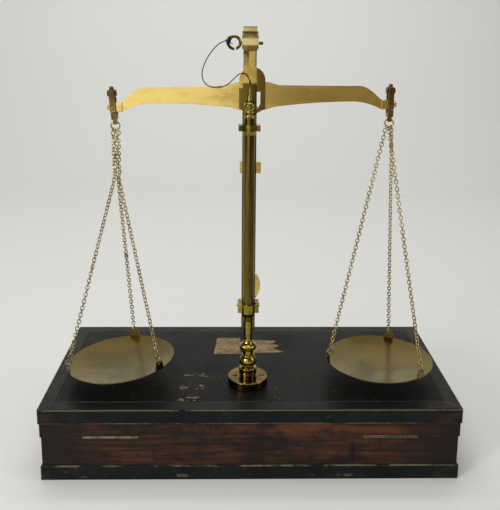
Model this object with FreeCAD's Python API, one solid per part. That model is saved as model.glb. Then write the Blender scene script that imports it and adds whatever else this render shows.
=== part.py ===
"""Brass beam scale standing on the lid of its own case, in millimetres.

Origin: centre of the case's underside. +Z up, +X to the right along the beam, the case's hinges on the -Y side.
"""

import FreeCAD, Part
import math
import os

V = FreeCAD.Vector
X_AXIS, Y_AXIS, Z_AXIS = V(1, 0, 0), V(0, 1, 0), V(0, 0, 1)

# ---- case -------------------------------------------------------------------
lid_width = 388.0
lid_depth = 185.0
lid_overhang = 2.0
band_inset = 1.0
plinth_overhang = 1.5
plinth_height = 14.0
plinth_rail = 12.0
case_wall = 9.0
case_wall_height = 28.6
bottom_thickness = 6.0
seam_gap = 0.4
lid_wall_height = 13.9
lid_frame_height = 14.5
lid_frame_width = 13.0
lid_panel_thickness = 8.0
panel_groove_width = 1.0
panel_groove_depth = 1.2
wood_round = 0.7
label_thickness = 0.2
label_left = [(-37.5, 20.6), (-9.0, 20.6), (-9.0, 60.8), (-34.8, 60.8)]
label_right = [(4.5, 22.9), (37.5, 25.2), (26.5, 33.0), (33.5, 41.0), (25.0, 46.0), (30.4, 52.9), (4.5, 56.0)]

# ---- hinges and catch --------------------------------------------------------
hinge_length = 51.0
hinge_spacing = 257.5
hinge_knuckle_r = 1.5
hinge_pin_r = 0.6
hinge_leaf_width = 7.0
hinge_leaf_thickness = 1.0
hinge_knuckle_count = 5
hinge_knuckle_gap = 0.3
hinge_knuckle_room = 0.25
hinge_leaf_set_back = 0.3
hinge_web_reach = 0.6
hinge_screw_shift = 0.4
small_screw_head_r = 1.6
small_screw_r = 0.8
small_screw_length = 5.0
small_screw_head_height = 0.8
catch_length = 22.0
catch_width = 4.0
catch_thickness = 1.2
catch_stud_r = 1.1
catch_stud_drop = 7.0
catch_stud_reach = 0.9
catch_stud_head_r = 1.485
catch_mouth_room = 0.45
catch_stand_off = 0.3
catch_pivot_height = 7.645
catch_pivot_head_height = 0.8
catch_pivot_play = 0.2

# ---- pillar -------------------------------------------------------------------
pillar_x = -2.4
pillar_y = -41.6
flange_r = 19.2
flange_thickness = 7.9
flange_screw_circle_r = 13.2
flange_screw_head_r = 2.6
flange_screw_shift = 1.2
flange_screw_bite = 4.0
flange_round = 0.8
foot_spigot_r = 3.0
foot_spigot_depth = 5.0
rod_r = 4.0
rod_bottom_z = 136.2
rod_top_z = 172.0
tube_r = 5.05
tube_bottom_z = 144.9
tube_top_z = 330.8
finial_tip_z = 359.0
finial_spigot_depth = 8.0

# ---- collars and clamp ---------------------------------------------------------
collar_r = 6.6
collar_cone = 3.4
collar_cone_lip = 0.3
collar_ear_front = 2.0
collar_round = 0.6
collar_ear_thickness = 3.3
upper_collar_z = 318.7
upper_collar_height = 5.7
lower_collar_z = 144.2
lower_collar_height = 8.7
collar_plate_thickness = 1.6
collar_plate_round = 0.5
collar_shaft_wall = 1.2
plate_tongue_width = 11.0
plate_tongue_drop = 10.0
shaft_r = 1.6
shaft_head_gap = 0.3
shaft_head_lip = 0.7
shaft_head_thickness = 0.8
cam_r = 2.0
cam_throw = 0.3
cam_gap = 0.1
cam_end_gap = 0.2
leaf_height = 30.5
leaf_thickness = 1.5
leaf_seat_shift = 1.4
leaf_seat_gap = 0.4
leaf_seat_depth = 4.0
leaf_root_height = 5.8
leaf_belly_height = 19.5

# ---- lift bar and gooseneck ------------------------------------------------------
bar_width = 13.0
bar_thickness = 2.5
bar_bottom_z = 123.7
bar_top_z = 361.2
bar_bevel_height = 7.7
bar_bevel_depth = 1.5
bar_round = 0.4
stop_z = 278.3
stop_height = 10.4
stop_width = 19.6
stop_depth = 7.0
stop_shift = 1.2
stop_round = 1.2
stop_screw_spread = 3.6
stop_screw_bite = 2.0
strap_width = 12.2
strap_thickness = 2.0
strap_shift = 0.4
strap_bend_r = 1.0
strap_foot_z = 327.6
strap_tenon_width = 8.0
hook_inner_r = 6.0
hook_centre_z = 403.8
hook_tip_z = 390.4
cheek_thickness = 1.3
cheek_r = 7.9
cheek_z = 399.4

# ---- cross pin and its ring --------------------------------------------------------
pin_r = 1.55
pin_z = 397.0
pin_stub = 4.4
pin_tip_round = 1.085
pin_ring_r = 5.5
pin_ring_wire_r = 1.35
pin_ring_gap = 1.4
pin_ring_gap_shift = 0.3
pin_ring_rise = 0.3
pin_ring_stand_off = 0.3
cord_diameter = 0.9

# ---- shears ----------------------------------------------------------------------
beam_x = 0.0
shears_width = 23.9
shears_arch_z = 364.0
shears_cheek = 1.2
shears_side_bottom_z = 338.2
shears_point_z = 333.0
shears_point_half = 2.5
shears_bridge_z = 370.5
shears_window_half = 7.6
shears_window_bottom_z = 338.0
shears_window_top_z = 353.5
shears_window_corner = 3.7
shears_window_peak = 5.4
bearing_post_half = 4.2
bearing_post_drop = 3.2
bearing_half = 3.7
bearing_rise = 1.0
bearing_mouth_half = 2.6
eye_r = 3.2
eye_width = 6.0
stem_width = 6.0
stem_thickness = 3.4
stem_root = 2.0

# ---- beam -------------------------------------------------------------------------
beam_thickness = 3.0
beam_half = 119.0
beam_top_z = 362.2
beam_low_z = 336.6
beam_slot_low_z = 339.6
beam_slot_high_z = 354.2
beam_slot_inner = 4.0
beam_slot_outer = 8.2
knife_half_span = 127.0
centre_knife_z = 351.6
end_knife_z = 340.5
beam_tilt = -0.85
end_block_outer = 130.2
end_block_height = 9.0
end_block_thickness = 6.0
end_block_round = 0.7
end_nut_r = 2.9
end_nut_length = 2.2
knife_half_width = 1.3
knife_slope = 2.4
centre_knife_height = 3.4
centre_knife_reach = 0.4
end_knife_height = 3.2
end_knife_length = 10.6
tongue_height = 7.4
tongue_half = 1.1
tongue_tip_half = 0.35
tongue_thickness = 1.0

# ---- stirrups and hanger rings ------------------------------------------------------
stirrup_width = 5.3
stirrup_plate = 1.3
stirrup_inner_depth = 7.4
stirrup_head_z = 350.0
stirrup_head_height = 6.4
stirrup_base_z = 329.3
stirrup_base_height = 3.6
stirrup_neck_width = 3.4
stirrup_eye_z = 327.1
stirrup_eye_r = 1.6
stirrup_neck_depth = 5.2
stirrup_neck_drop = 2.5
stirrup_barrel_r = 2.7
stirrup_barrel_stand = 1.5
stirrup_slot_half = 2.0
stirrup_slot_drop = 4.6
stirrup_slot_shoulder = 0.9
stirrup_round = 0.5
left_stirrup_lean = -5.0
hanger_ring_r = 3.95
hanger_wire_r = 0.75

# ---- chains and pans ------------------------------------------------------------------
link_wire_r = 0.43
link_half_width = 2.0
link_play = 1.85
link_pitch = 3.4
link_gap = 0.12
ring_gap = 0.2
hang_angle = 36.0
knee_spread = 2.9
knee_drop = 1.9
knee_rear = 1.2
knee_front = 2.0
knee_middle_drop = 1.1
jump_ring_r = 2.9
jump_wire_r = 0.5
pan_r = 52.0
pan_depth = 5.5
pan_thickness = 0.8
pan_rim_z = 91.0
pan_shift = 1.0
left_pan_tilt = -5.0
tab_base = 11.0
tab_top = 6.6
tab_height = 8.0
tab_thickness = 0.9
tab_hole_r = 1.3
tab_hole_below_top = 2.3
tab_root = 1.0
tab_round = 0.35
left_tab_angles = (83.0, 203.0, 323.0)
right_tab_angles = (68.0, 188.0, 308.0)
tab_to_hang = (2, 0, 1)
twist_bottom_z = 271.0
twist_r = 2.7
twist_turn = 413.0
twist_starts = (150.0, 270.0, 30.0)
twist_steps = 24
twist_ease_share = 0.125

# ---- clearances -----------------------------------------------------------------------
slide_clearance = 0.15
running_clearance = 0.06
fit_clearance = 0.05
knife_clearance = 0.3
past = 1.0

# ---- places worked out from the sizes above ---------------------------------------------
band_width = lid_width - 2 * band_inset
band_depth = lid_depth - 2 * band_inset
case_width = lid_width - 2 * lid_overhang
case_depth = lid_depth - 2 * lid_overhang
plinth_width = case_width + 2 * plinth_overhang
plinth_depth = case_depth + 2 * plinth_overhang
case_top_z = plinth_height + case_wall_height
lid_bottom_z = case_top_z + seam_gap
lid_wall_top_z = lid_bottom_z + lid_wall_height
lid_top_z = lid_wall_top_z + lid_frame_height
flange_top_z = lid_top_z + flange_thickness
hinge_y = -lid_depth / 2 + hinge_knuckle_r
hinge_z = case_top_z + seam_gap / 2
bar_front_y = pillar_y + tube_r + slide_clearance
bar_rear_y = bar_front_y + bar_thickness
shears_room = 2.0
shears_front_y = bar_rear_y + shears_room
beam_room = 1.0
beam_y = shears_front_y + shears_cheek + beam_room + beam_thickness / 2
shears_rear_y = 2 * beam_y - shears_front_y
strap_front_y = shears_rear_y + shears_room
strap_x = pillar_x + strap_shift
shaft_y = bar_rear_y + cam_gap + cam_r + cam_throw
ear_half = bar_width / 2 + slide_clearance + collar_ear_thickness
shaft_z = lower_collar_z + lower_collar_height / 2


def box(x0, x1, y0, y1, z0, z1):
    """A block between two corners."""
    return Part.makeBox(x1 - x0, y1 - y0, z1 - z0, V(x0, y0, z0))


def rod_between(start, end, radius):
    """A round rod from one point to another."""
    return Part.makeCylinder(radius, (end - start).Length, start, end - start)


def rounded(shape, radius, direction=None):
    """The shape with its straight edges rounded, or only those along one axis."""
    edges = []
    for edge in shape.Edges:
        if direction is None or abs(abs(edge.tangentAt(edge.FirstParameter).dot(direction)) - 1) < 1e-6:
            edges.append(edge)
    return shape.makeFillet(radius, edges)


def plate_xz(points, y0, y1):
    """A flat plate with the outline given as (x, z) points, from y0 to y1."""
    corners = [V(x, y0, z) for x, z in points]
    face = Part.Face(Part.makePolygon(corners + corners[:1]))
    return face.extrude(V(0, y1 - y0, 0))


def turned(start, steps, x=0.0, y=0.0):
    """A piece turned on a lathe. A step is (r, z) for a line, or (r, z, mid_r, mid_z) for an arc."""
    edges = []
    here = V(start[0], 0, start[1])
    for step in steps:
        there = V(step[0], 0, step[1])
        if len(step) == 4:
            edges.append(Part.Arc(here, V(step[2], 0, step[3]), there).toShape())
        else:
            edges.append(Part.LineSegment(here, there).toShape())
        here = there
    edges.append(Part.LineSegment(here, V(start[0], 0, start[1])).toShape())
    solid = Part.Face(Part.Wire(edges)).revolve(V(0, 0, 0), Z_AXIS, 360)
    solid.translate(V(x, y, 0))
    return solid


def turn_about(shape, point, axis, degrees):
    """A copy of the shape turned about an axis through a point."""
    copy = shape.copy()
    copy.rotate(point, axis, degrees)
    return copy


def torus(centre, radius, wire_r, axis):
    """A plain ring."""
    return Part.makeTorus(radius, wire_r, centre, axis)


def group(solids):
    """Several separate solids that share one node."""
    return Part.makeCompound(solids)


def screw(point, outward, head_r, length=small_screw_length, head_height=small_screw_head_height):
    """A slotted round-head screw: its head stands out of the point and its shank goes in."""
    head = Part.makeCylinder(head_r, head_height, point, outward)
    rim = [e for e in head.Edges if e.Closed and e.CenterOfMass.distanceToPoint(point) > head_height / 2]
    head = head.makeFillet(head_height * 0.6, rim)
    side = outward.cross(Z_AXIS) if abs(outward.dot(Z_AXIS)) < 0.9 else X_AXIS
    slot = Part.makeBox(4 * head_r, head_r * 0.3, head_height, V(-2 * head_r, -head_r * 0.15, 0))
    slot.Placement = FreeCAD.Placement(
        point + outward * head_height * 0.55,
        FreeCAD.Rotation(side, outward.cross(side), outward, "ZXY"),
    )
    shank = Part.makeCylinder(small_screw_r, length, point, outward * -1)
    return head.cut(slot).fuse(shank).removeSplitter()


def shank_hole(point, outward, length=small_screw_length):
    """The hole that a screw's shank fills."""
    return Part.makeCylinder(small_screw_r, length, point, outward * -1)


# ---- case ------------------------------------------------------------------------------

def long_rail(width, depth, rail, z0, z1, side):
    """A mitred rail along the front (side -1) or rear (side 1) of a frame."""
    outer, inner = side * depth / 2, side * (depth / 2 - rail)
    points = [(-width / 2, outer), (width / 2, outer), (width / 2 - rail, inner), (-width / 2 + rail, inner)]
    corners = [V(x, y, z0) for x, y in points]
    return Part.Face(Part.makePolygon(corners + corners[:1])).extrude(V(0, 0, z1 - z0))


def side_rail(width, depth, rail, z0, z1, side):
    """A mitred rail along the left (side -1) or right (side 1) of a frame."""
    outer, inner = side * width / 2, side * (width / 2 - rail)
    points = [(outer, -depth / 2), (outer, depth / 2), (inner, depth / 2 - rail), (inner, -depth / 2 + rail)]
    corners = [V(x, y, z0) for x, y in points]
    return Part.Face(Part.makePolygon(corners + corners[:1])).extrude(V(0, 0, z1 - z0))


def eased(rail, outer_z, reach):
    """A rail with its outer long edge at one height rounded."""
    edges = []
    for edge in rail.Edges:
        centre = edge.CenterOfMass
        if abs(centre.z - outer_z) < 1e-6 and max(abs(centre.x) / reach[0], abs(centre.y) / reach[1]) > 0.999:
            edges.append(edge)
    return rail.makeFillet(wood_round, edges)


def frame_rails(width, depth, rail, z0, z1, rounded_z):
    """The two long rails and the two side rails of a mitred frame, their outer edges eased."""
    reach = (width / 2, depth / 2)
    pairs = []
    for make in (long_rail, side_rail):
        pairs.append([eased(make(width, depth, rail, z0, z1, side), rounded_z, reach) for side in (-1, 1)])
    return pairs


def wall_boards(width, depth, z0, z1):
    """Front, rear, left and right boards: the long ones run through, the short ones fit between."""
    inner = depth / 2 - case_wall
    front = box(-width / 2, width / 2, -depth / 2, -inner, z0, z1)
    rear = box(-width / 2, width / 2, inner, depth / 2, z0, z1)
    left = box(-width / 2, -width / 2 + case_wall, -inner, inner, z0, z1)
    right = box(width / 2 - case_wall, width / 2, -inner, inner, z0, z1)
    return front, rear, left, right


def hinge_centres():
    return [-hinge_spacing / 2, hinge_spacing / 2]


def hinge_mortise(x, z0, z1):
    """The room for one hinge's knuckles and leaf, cut from a board's edge."""
    half = hinge_length / 2 + fit_clearance
    reach = hinge_y + hinge_knuckle_r + hinge_leaf_width + fit_clearance
    leaf_room = box(x - half, x + half, -lid_depth, reach, z0, z1)
    barrel = hinge_knuckle_r + hinge_knuckle_room
    knuckle_room = box(x - half, x + half, -lid_depth, hinge_y + barrel, hinge_z - barrel, hinge_z + barrel)
    return leaf_room.fuse(knuckle_room)


def knuckles(x, first):
    """Every second knuckle of a hinge, bored for its pin."""
    pitch = hinge_length / hinge_knuckle_count
    solids = []
    for index in range(first, hinge_knuckle_count, 2):
        start = x - hinge_length / 2 + index * pitch + hinge_knuckle_gap / 2
        end = start + pitch - hinge_knuckle_gap
        barrel = rod_between(V(start, hinge_y, hinge_z), V(end, hinge_y, hinge_z), hinge_knuckle_r)
        solids.append((start, end, barrel))
    return solids


def hinge_leaf(x, first, z0, z1):
    """One leaf with its knuckles. z0 to z1 is the leaf's thickness, let into a board's edge."""
    reach = hinge_y + hinge_knuckle_r + hinge_leaf_width
    set_back = hinge_y + hinge_knuckle_r + hinge_leaf_set_back
    leaf = box(x - hinge_length / 2, x + hinge_length / 2, set_back, reach, z0, z1)
    for start, end, barrel in knuckles(x, first):
        web = box(start, end, hinge_y, hinge_y + hinge_knuckle_r + hinge_web_reach, z0, z1)
        leaf = leaf.fuse(web).fuse(barrel)
    half = V(hinge_length / 2 + past, 0, 0)
    middle = V(x, hinge_y, hinge_z)
    bore = rod_between(middle - half, middle + half, hinge_pin_r + running_clearance)
    return leaf.cut(bore).removeSplitter()


def hinge_screw_places(x):
    y = hinge_y + hinge_knuckle_r + hinge_leaf_width / 2 + hinge_screw_shift
    return [V(x + shift, y, 0) for shift in (-hinge_length / 3, 0, hinge_length / 3)]


def countersunk(point, outward):
    """A countersunk screw lying flush with the point, its head let into a thin leaf."""
    depth = hinge_leaf_thickness
    head = Part.makeCone(small_screw_head_r, small_screw_r, depth, point, outward * -1)
    shank = Part.makeCylinder(small_screw_r, small_screw_length - depth, point - outward * depth, outward * -1)
    return head.fuse(shank).removeSplitter()


def make_hinges(parts):
    """Both butt hinges, and the pockets that they need in the case and the lid."""
    case_face, lid_face = case_top_z, lid_bottom_z
    case_leaves, lid_leaves, pins, case_screws, lid_screws = [], [], [], [], []
    for x in hinge_centres():
        case_mortise = hinge_mortise(x, case_face - hinge_leaf_thickness, lid_face)
        lid_mortise = hinge_mortise(x, case_face, lid_face + hinge_leaf_thickness)
        parts["front_board"] = parts["front_board"].cut(case_mortise)
        parts["lid_front_board"] = parts["lid_front_board"].cut(lid_mortise)
        case_leaf = hinge_leaf(x, 0, case_face - hinge_leaf_thickness, case_face)
        lid_leaf = hinge_leaf(x, 1, lid_face, lid_face + hinge_leaf_thickness)
        for place in hinge_screw_places(x):
            low, high = V(place.x, place.y, case_face), V(place.x, place.y, lid_face)
            down_screw, up_screw = countersunk(low, Z_AXIS), countersunk(high, Z_AXIS * -1)
            case_leaf, lid_leaf = case_leaf.cut(down_screw), lid_leaf.cut(up_screw)
            parts["front_board"] = parts["front_board"].cut(down_screw)
            parts["lid_front_board"] = parts["lid_front_board"].cut(up_screw)
            case_screws.append(down_screw)
            lid_screws.append(up_screw)
        case_leaves.append(case_leaf)
        lid_leaves.append(lid_leaf)
        half = V(hinge_length / 2, 0, 0)
        middle = V(x, hinge_y, hinge_z)
        pins.append(rod_between(middle - half, middle + half, hinge_pin_r))
    parts["hinge_case_leaves"] = group(case_leaves)
    parts["hinge_lid_leaves"] = group(lid_leaves)
    parts["hinge_pins"] = group(pins)
    parts["hinge_case_screws"] = group(case_screws)
    parts["hinge_lid_screws"] = group(lid_screws)


def make_case(parts):
    rails = frame_rails(plinth_width, plinth_depth, plinth_rail, 0, plinth_height, plinth_height)
    parts["plinth_long_rails"], parts["plinth_side_rails"] = group(rails[0]), group(rails[1])
    inner_x, inner_y = plinth_width / 2 - plinth_rail, plinth_depth / 2 - plinth_rail
    parts["bottom_board"] = box(-inner_x, inner_x, -inner_y, inner_y, 0, bottom_thickness)
    boards = wall_boards(case_width, case_depth, plinth_height, case_top_z)
    for name, board in zip(("front_board", "rear_board", "left_board", "right_board"), boards):
        parts[name] = board


def make_lid(parts):
    boards = wall_boards(band_width, band_depth, lid_bottom_z, lid_wall_top_z)
    for name, board in zip(("lid_front_board", "lid_rear_board", "lid_left_board", "lid_right_board"), boards):
        parts[name] = board
    rails = frame_rails(lid_width, lid_depth, lid_frame_width, lid_wall_top_z, lid_top_z, lid_top_z)
    parts["lid_frame_long_rails"], parts["lid_frame_side_rails"] = group(rails[0]), group(rails[1])
    inner_x, inner_y = lid_width / 2 - lid_frame_width, lid_depth / 2 - lid_frame_width
    groove_z = lid_top_z - panel_groove_depth
    panel = box(-inner_x, inner_x, -inner_y, inner_y, lid_top_z - lid_panel_thickness, groove_z)
    field_x, field_y = inner_x - panel_groove_width, inner_y - panel_groove_width
    parts["lid_panel"] = panel.fuse(box(-field_x, field_x, -field_y, field_y, groove_z, lid_top_z)).removeSplitter()


def make_label(parts):
    """What is left of a paper label behind the pillar, torn at both ends."""
    pieces = []
    for outline in (label_left, label_right):
        corners = [V(x, y, lid_top_z) for x, y in outline]
        pieces.append(Part.Face(Part.makePolygon(corners + corners[:1])).extrude(V(0, 0, label_thickness)))
    parts["paper_label"] = group(pieces)


def make_catch(parts):
    """A hook that hangs from the lid's rear board, and the stud that it swings onto."""
    pivot = V(-catch_length / 2, band_depth / 2, lid_bottom_z + catch_pivot_height)
    hook_y0 = band_depth / 2 + catch_stand_off
    hook_y1 = hook_y0 + catch_thickness
    shoulder_length = hook_y1 - pivot.y + catch_pivot_play
    shoulder = Part.makeCylinder(catch_stud_r, shoulder_length, pivot, Y_AXIS)
    head_seat = pivot + Y_AXIS * shoulder_length
    head = Part.makeCylinder(2 * catch_stud_r, catch_pivot_head_height, head_seat, Y_AXIS)
    shank = Part.makeCylinder(small_screw_r, small_screw_length, pivot, Y_AXIS * -1)
    parts["catch_screw"] = shoulder.fuse(head).fuse(shank).removeSplitter()
    parts["lid_rear_board"] = parts["lid_rear_board"].cut(shank_hole(pivot, Y_AXIS))
    drop = pivot.z - (case_top_z - catch_stud_drop)
    reach = math.sqrt(catch_length**2 - drop**2)
    stud_x = pivot.x + reach
    stud = V(stud_x, case_depth / 2, pivot.z - drop)
    stud_end = hook_y1 + catch_stud_reach
    post = Part.makeCylinder(catch_stud_r, stud_end - stud.y, stud, Y_AXIS)
    stud_head = Part.makeSphere(catch_stud_head_r, V(stud.x, stud_end, stud.z))
    stud_shank = Part.makeCylinder(small_screw_r, small_screw_length, stud, Y_AXIS * -1)
    parts["catch_stud"] = post.fuse(stud_head).fuse(stud_shank).removeSplitter()
    parts["rear_board"] = parts["rear_board"].cut(shank_hole(stud, Y_AXIS))
    half = catch_width / 2
    arm = box(pivot.x - half, pivot.x + half, hook_y0, hook_y1, pivot.z - catch_length - half, pivot.z)
    arm = arm.fuse(Part.makeCylinder(half, catch_thickness, V(pivot.x, hook_y0, pivot.z), Y_AXIS))
    arm = rounded(arm.removeSplitter(), half * 0.8, Y_AXIS)
    cut_y0, cut_y1 = hook_y0 - past, hook_y1 + past
    hole_r = catch_stud_r + running_clearance
    pivot_hole = rod_between(V(pivot.x, cut_y0, pivot.z), V(pivot.x, cut_y1, pivot.z), hole_r)
    mouth_z = pivot.z - catch_length
    mouth_r = catch_stud_r + catch_mouth_room
    mouth = rod_between(V(pivot.x, cut_y0, mouth_z), V(pivot.x, cut_y1, mouth_z), mouth_r)
    way_in = box(pivot.x, pivot.x + catch_width, cut_y0, cut_y1, mouth_z - mouth_r, mouth_z + mouth_r)
    parts["catch_hook"] = arm.cut(pivot_hole).cut(mouth).cut(way_in)


# ---- pillar -----------------------------------------------------------------------------

def pillar_round(z0, z1, radius):
    """A round rod on the pillar's axis."""
    return rod_between(V(pillar_x, pillar_y, z0), V(pillar_x, pillar_y, z1), radius)


def make_pillar(parts):
    top = flange_top_z
    flange = Part.makeCylinder(flange_r, flange_thickness, V(pillar_x, pillar_y, lid_top_z))
    rims = [e for e in flange.Edges if e.Closed]
    flange = flange.makeFillet(flange_round, rims)
    screws = []
    for side in (-1, 1):
        place = V(pillar_x + side * flange_screw_circle_r, pillar_y + flange_screw_shift, top)
        length = flange_thickness + flange_screw_bite
        screws.append(screw(place, Z_AXIS, flange_screw_head_r, length=length))
        hole = shank_hole(place, Z_AXIS, length)
        flange = flange.cut(hole)
        parts["lid_panel"] = parts["lid_panel"].cut(hole)
    spigot_z = top - foot_spigot_depth
    flange = flange.cut(Part.makeCylinder(foot_spigot_r, foot_spigot_depth, V(pillar_x, pillar_y, spigot_z)))
    parts["pillar_flange"] = flange
    parts["flange_screws"] = group(screws)
    foot_steps = [
        (foot_spigot_r, spigot_z),
        (foot_spigot_r, top),
        (7.7, top),
        (7.7, top + 2.4),
        (8.5, top + 3.8, 8.4, top + 2.8),
        (8.5, top + 8.0),
        (7.9, top + 9.2, 8.4, top + 8.9),
        (5.5, top + 9.4),
        (5.6, top + 10.2),
        (5.9, top + 21.0, 8.1, top + 16.9),
        (5.9, top + 22.4, 6.5, top + 21.7),
        (5.0, top + 22.7),
        (5.0, top + 26.4),
        (5.5, top + 27.0),
        (8.5, top + 31.6, 7.7, top + 28.7),
        (3.95, top + 40.4, 4.9, top + 34.7),
        (3.95, rod_bottom_z - 0.5),
        (3.6, rod_bottom_z),
        (0, rod_bottom_z),
    ]
    parts["pillar_foot"] = turned((0, spigot_z), foot_steps, pillar_x, pillar_y)
    parts["pillar_rod"] = pillar_round(rod_bottom_z, rod_top_z, rod_r)
    tube = pillar_round(tube_bottom_z, tube_top_z, tube_r)
    parts["pillar_tube"] = tube.cut(pillar_round(tube_bottom_z - past, tube_top_z + past, rod_r + fit_clearance))
    make_finial(parts)


def make_finial(parts):
    seat = tube_top_z
    tip = finial_tip_z
    steps = [
        (rod_r, seat - finial_spigot_depth),
        (rod_r, seat),
        (tube_r, seat),
        (4.6, seat + 0.8),
        (4.6, seat + 2.8, 5.1, seat + 1.8),
        (3.3, seat + 3.3),
        (3.3, seat + 4.2),
        (3.4, seat + 6.6, 4.2, seat + 5.4),
        (3.6, seat + 7.2),
        (4.9, seat + 9.2, 4.2, seat + 8.6),
        (4.9, seat + 10.0),
        (1.7, seat + 14.6, 4.4, seat + 13.0),
        (1.4, seat + 15.2),
        (2.1, seat + 16.2, 2.0, seat + 15.5),
        (0.5, tip - 0.6),
        (0, tip),
    ]
    parts["finial"] = turned((0, seat - finial_spigot_depth), steps, pillar_x, pillar_y)


# ---- collars and clamp ------------------------------------------------------------------

def collar(z0, height, ear_rear_y):
    """A sleeve on the pillar, coned below, with an ear each side of the lift bar's channel."""
    low, top = z0 - collar_cone, z0 + height
    profile = [(tube_r + collar_cone_lip, low), (collar_r, z0), (collar_r, top), (0, top)]
    sleeve = turned((0, low), profile, pillar_x, pillar_y)
    ear_front_y = pillar_y - collar_ear_front
    block = box(pillar_x - ear_half, pillar_x + ear_half, ear_front_y, ear_rear_y, z0, top)
    shape = sleeve.fuse(rounded(block, collar_round, X_AXIS))
    channel_half = bar_width / 2 + slide_clearance
    channel_y = bar_front_y - slide_clearance / 2
    channel = box(
        pillar_x - channel_half, pillar_x + channel_half, channel_y, ear_rear_y + past, low - past, top + past
    )
    bore = pillar_round(low - past, top + past, tube_r + fit_clearance)
    return shape.cut(channel).cut(bore).removeSplitter()


def make_collars(parts):
    y0 = bar_rear_y + slide_clearance
    y1 = y0 + collar_plate_thickness
    z0, z1 = upper_collar_z, upper_collar_z + upper_collar_height
    upper = collar(z0, upper_collar_height, y0)
    plate = rounded(box(pillar_x - ear_half, pillar_x + ear_half, y0, y1, z0, z1), collar_plate_round, X_AXIS)
    tongue_half = plate_tongue_width / 2
    drop_z = z0 - plate_tongue_drop
    stop_tongue = box(pillar_x - tongue_half, pillar_x + tongue_half, y0, y1, drop_z, z0 + past)
    plate = plate.fuse(stop_tongue).removeSplitter()
    screws = []
    for side in (-1, 1):
        x = pillar_x + side * (ear_half - collar_ear_thickness / 2)
        place = V(x, pillar_y - collar_ear_front, (z0 + z1) / 2)
        length = y1 - place.y
        screws.append(screw(place, Y_AXIS * -1, small_screw_head_r, length=length))
        hole = shank_hole(place, Y_AXIS * -1, length)
        upper, plate = upper.cut(hole), plate.cut(hole)
    parts["upper_collar"] = upper
    parts["upper_collar_plate"] = plate
    parts["collar_screws"] = group(screws)
    lower = collar(lower_collar_z, lower_collar_height, shaft_y + shaft_r + collar_shaft_wall)
    end = V(ear_half + past, 0, 0)
    middle = V(pillar_x, shaft_y, shaft_z)
    parts["lower_collar"] = lower.cut(rod_between(middle - end, middle + end, shaft_r + running_clearance))


def make_clamp(parts):
    """The cross shaft behind the lift bar, its off-centre middle that presses on the bar, and its lever."""
    inner_half = bar_width / 2 + slide_clearance
    middle = V(pillar_x, shaft_y, shaft_z)
    reach = ear_half + shaft_head_gap
    shaft = rod_between(middle - X_AXIS * reach, middle + X_AXIS * reach, shaft_r)
    for outward in (X_AXIS * -1, X_AXIS):
        end = middle + outward * reach
        shaft = shaft.fuse(Part.makeCylinder(shaft_r + shaft_head_lip, shaft_head_thickness, end, outward))
    cam_middle = middle - Y_AXIS * cam_throw
    cam_half = inner_half - cam_end_gap
    cam = rod_between(cam_middle - X_AXIS * cam_half, cam_middle + X_AXIS * cam_half, cam_r)
    seat_x0, seat_x1 = pillar_x + leaf_seat_shift, pillar_x + inner_half - leaf_seat_gap
    leaf_y0, leaf_y1 = shaft_y - leaf_thickness / 2, shaft_y + leaf_thickness / 2
    seat = box(seat_x0, seat_x1, leaf_y0, leaf_y1, shaft_z, shaft_z + leaf_seat_depth)
    parts["clamp_shaft"] = shaft.fuse(cam).removeSplitter().cut(seat)
    root, belly, tip = (shaft_z + height for height in (leaf_root_height, leaf_belly_height, leaf_height))
    right_side = [V(seat_x1, 0, root), V(pillar_x + 11.6, 0, belly), V(pillar_x + 8.6, 0, tip - 0.6)]
    left_side = [V(pillar_x + 7.0, 0, tip), V(pillar_x + 3.4, 0, belly), V(seat_x0, 0, root)]
    right_curve = Part.BSplineCurve()
    right_curve.interpolate(right_side)
    left_curve = Part.BSplineCurve()
    left_curve.interpolate(left_side)
    low_left, low_right = V(seat_x0, 0, shaft_z), V(seat_x1, 0, shaft_z)
    outline = Part.Wire([
        Part.LineSegment(low_left, low_right).toShape(),
        Part.LineSegment(low_right, right_side[0]).toShape(),
        right_curve.toShape(),
        Part.LineSegment(right_side[-1], left_side[0]).toShape(),
        left_curve.toShape(),
        Part.LineSegment(left_side[-1], low_left).toShape(),
    ])
    lever = Part.Face(outline).extrude(V(0, leaf_thickness, 0))
    lever.translate(V(0, leaf_y0, 0))
    parts["clamp_lever"] = lever


# ---- lift bar and gooseneck ---------------------------------------------------------------

def make_lift_bar(parts):
    half = bar_width / 2
    bar = box(pillar_x - half, pillar_x + half, bar_front_y, bar_rear_y, bar_bottom_z, bar_top_z)
    bar = rounded(bar, bar_round, X_AXIS)
    start_x = pillar_x - half - past
    low, high = bar_bottom_z - past, bar_bottom_z + bar_bevel_height
    outside_y = bar_front_y - past
    outline = [(outside_y, low), (bar_front_y + bar_bevel_depth, low), (bar_front_y, high), (outside_y, high)]
    corners = [V(start_x, y, z) for y, z in outline]
    bar = bar.cut(Part.Face(Part.makePolygon(corners + corners[:1])).extrude(V(bar_width + 2 * past, 0, 0)))
    slot = tenon(bar_front_y - past, bar_rear_y + past)
    parts["lift_bar"] = bar.cut(slot).removeSplitter()


def tenon(y0, y1):
    """The gooseneck's tongue where it passes through the lift bar."""
    half = strap_tenon_width / 2
    return box(pillar_x - half, pillar_x + half, y0, y1, strap_foot_z, strap_foot_z + strap_thickness)


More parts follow.
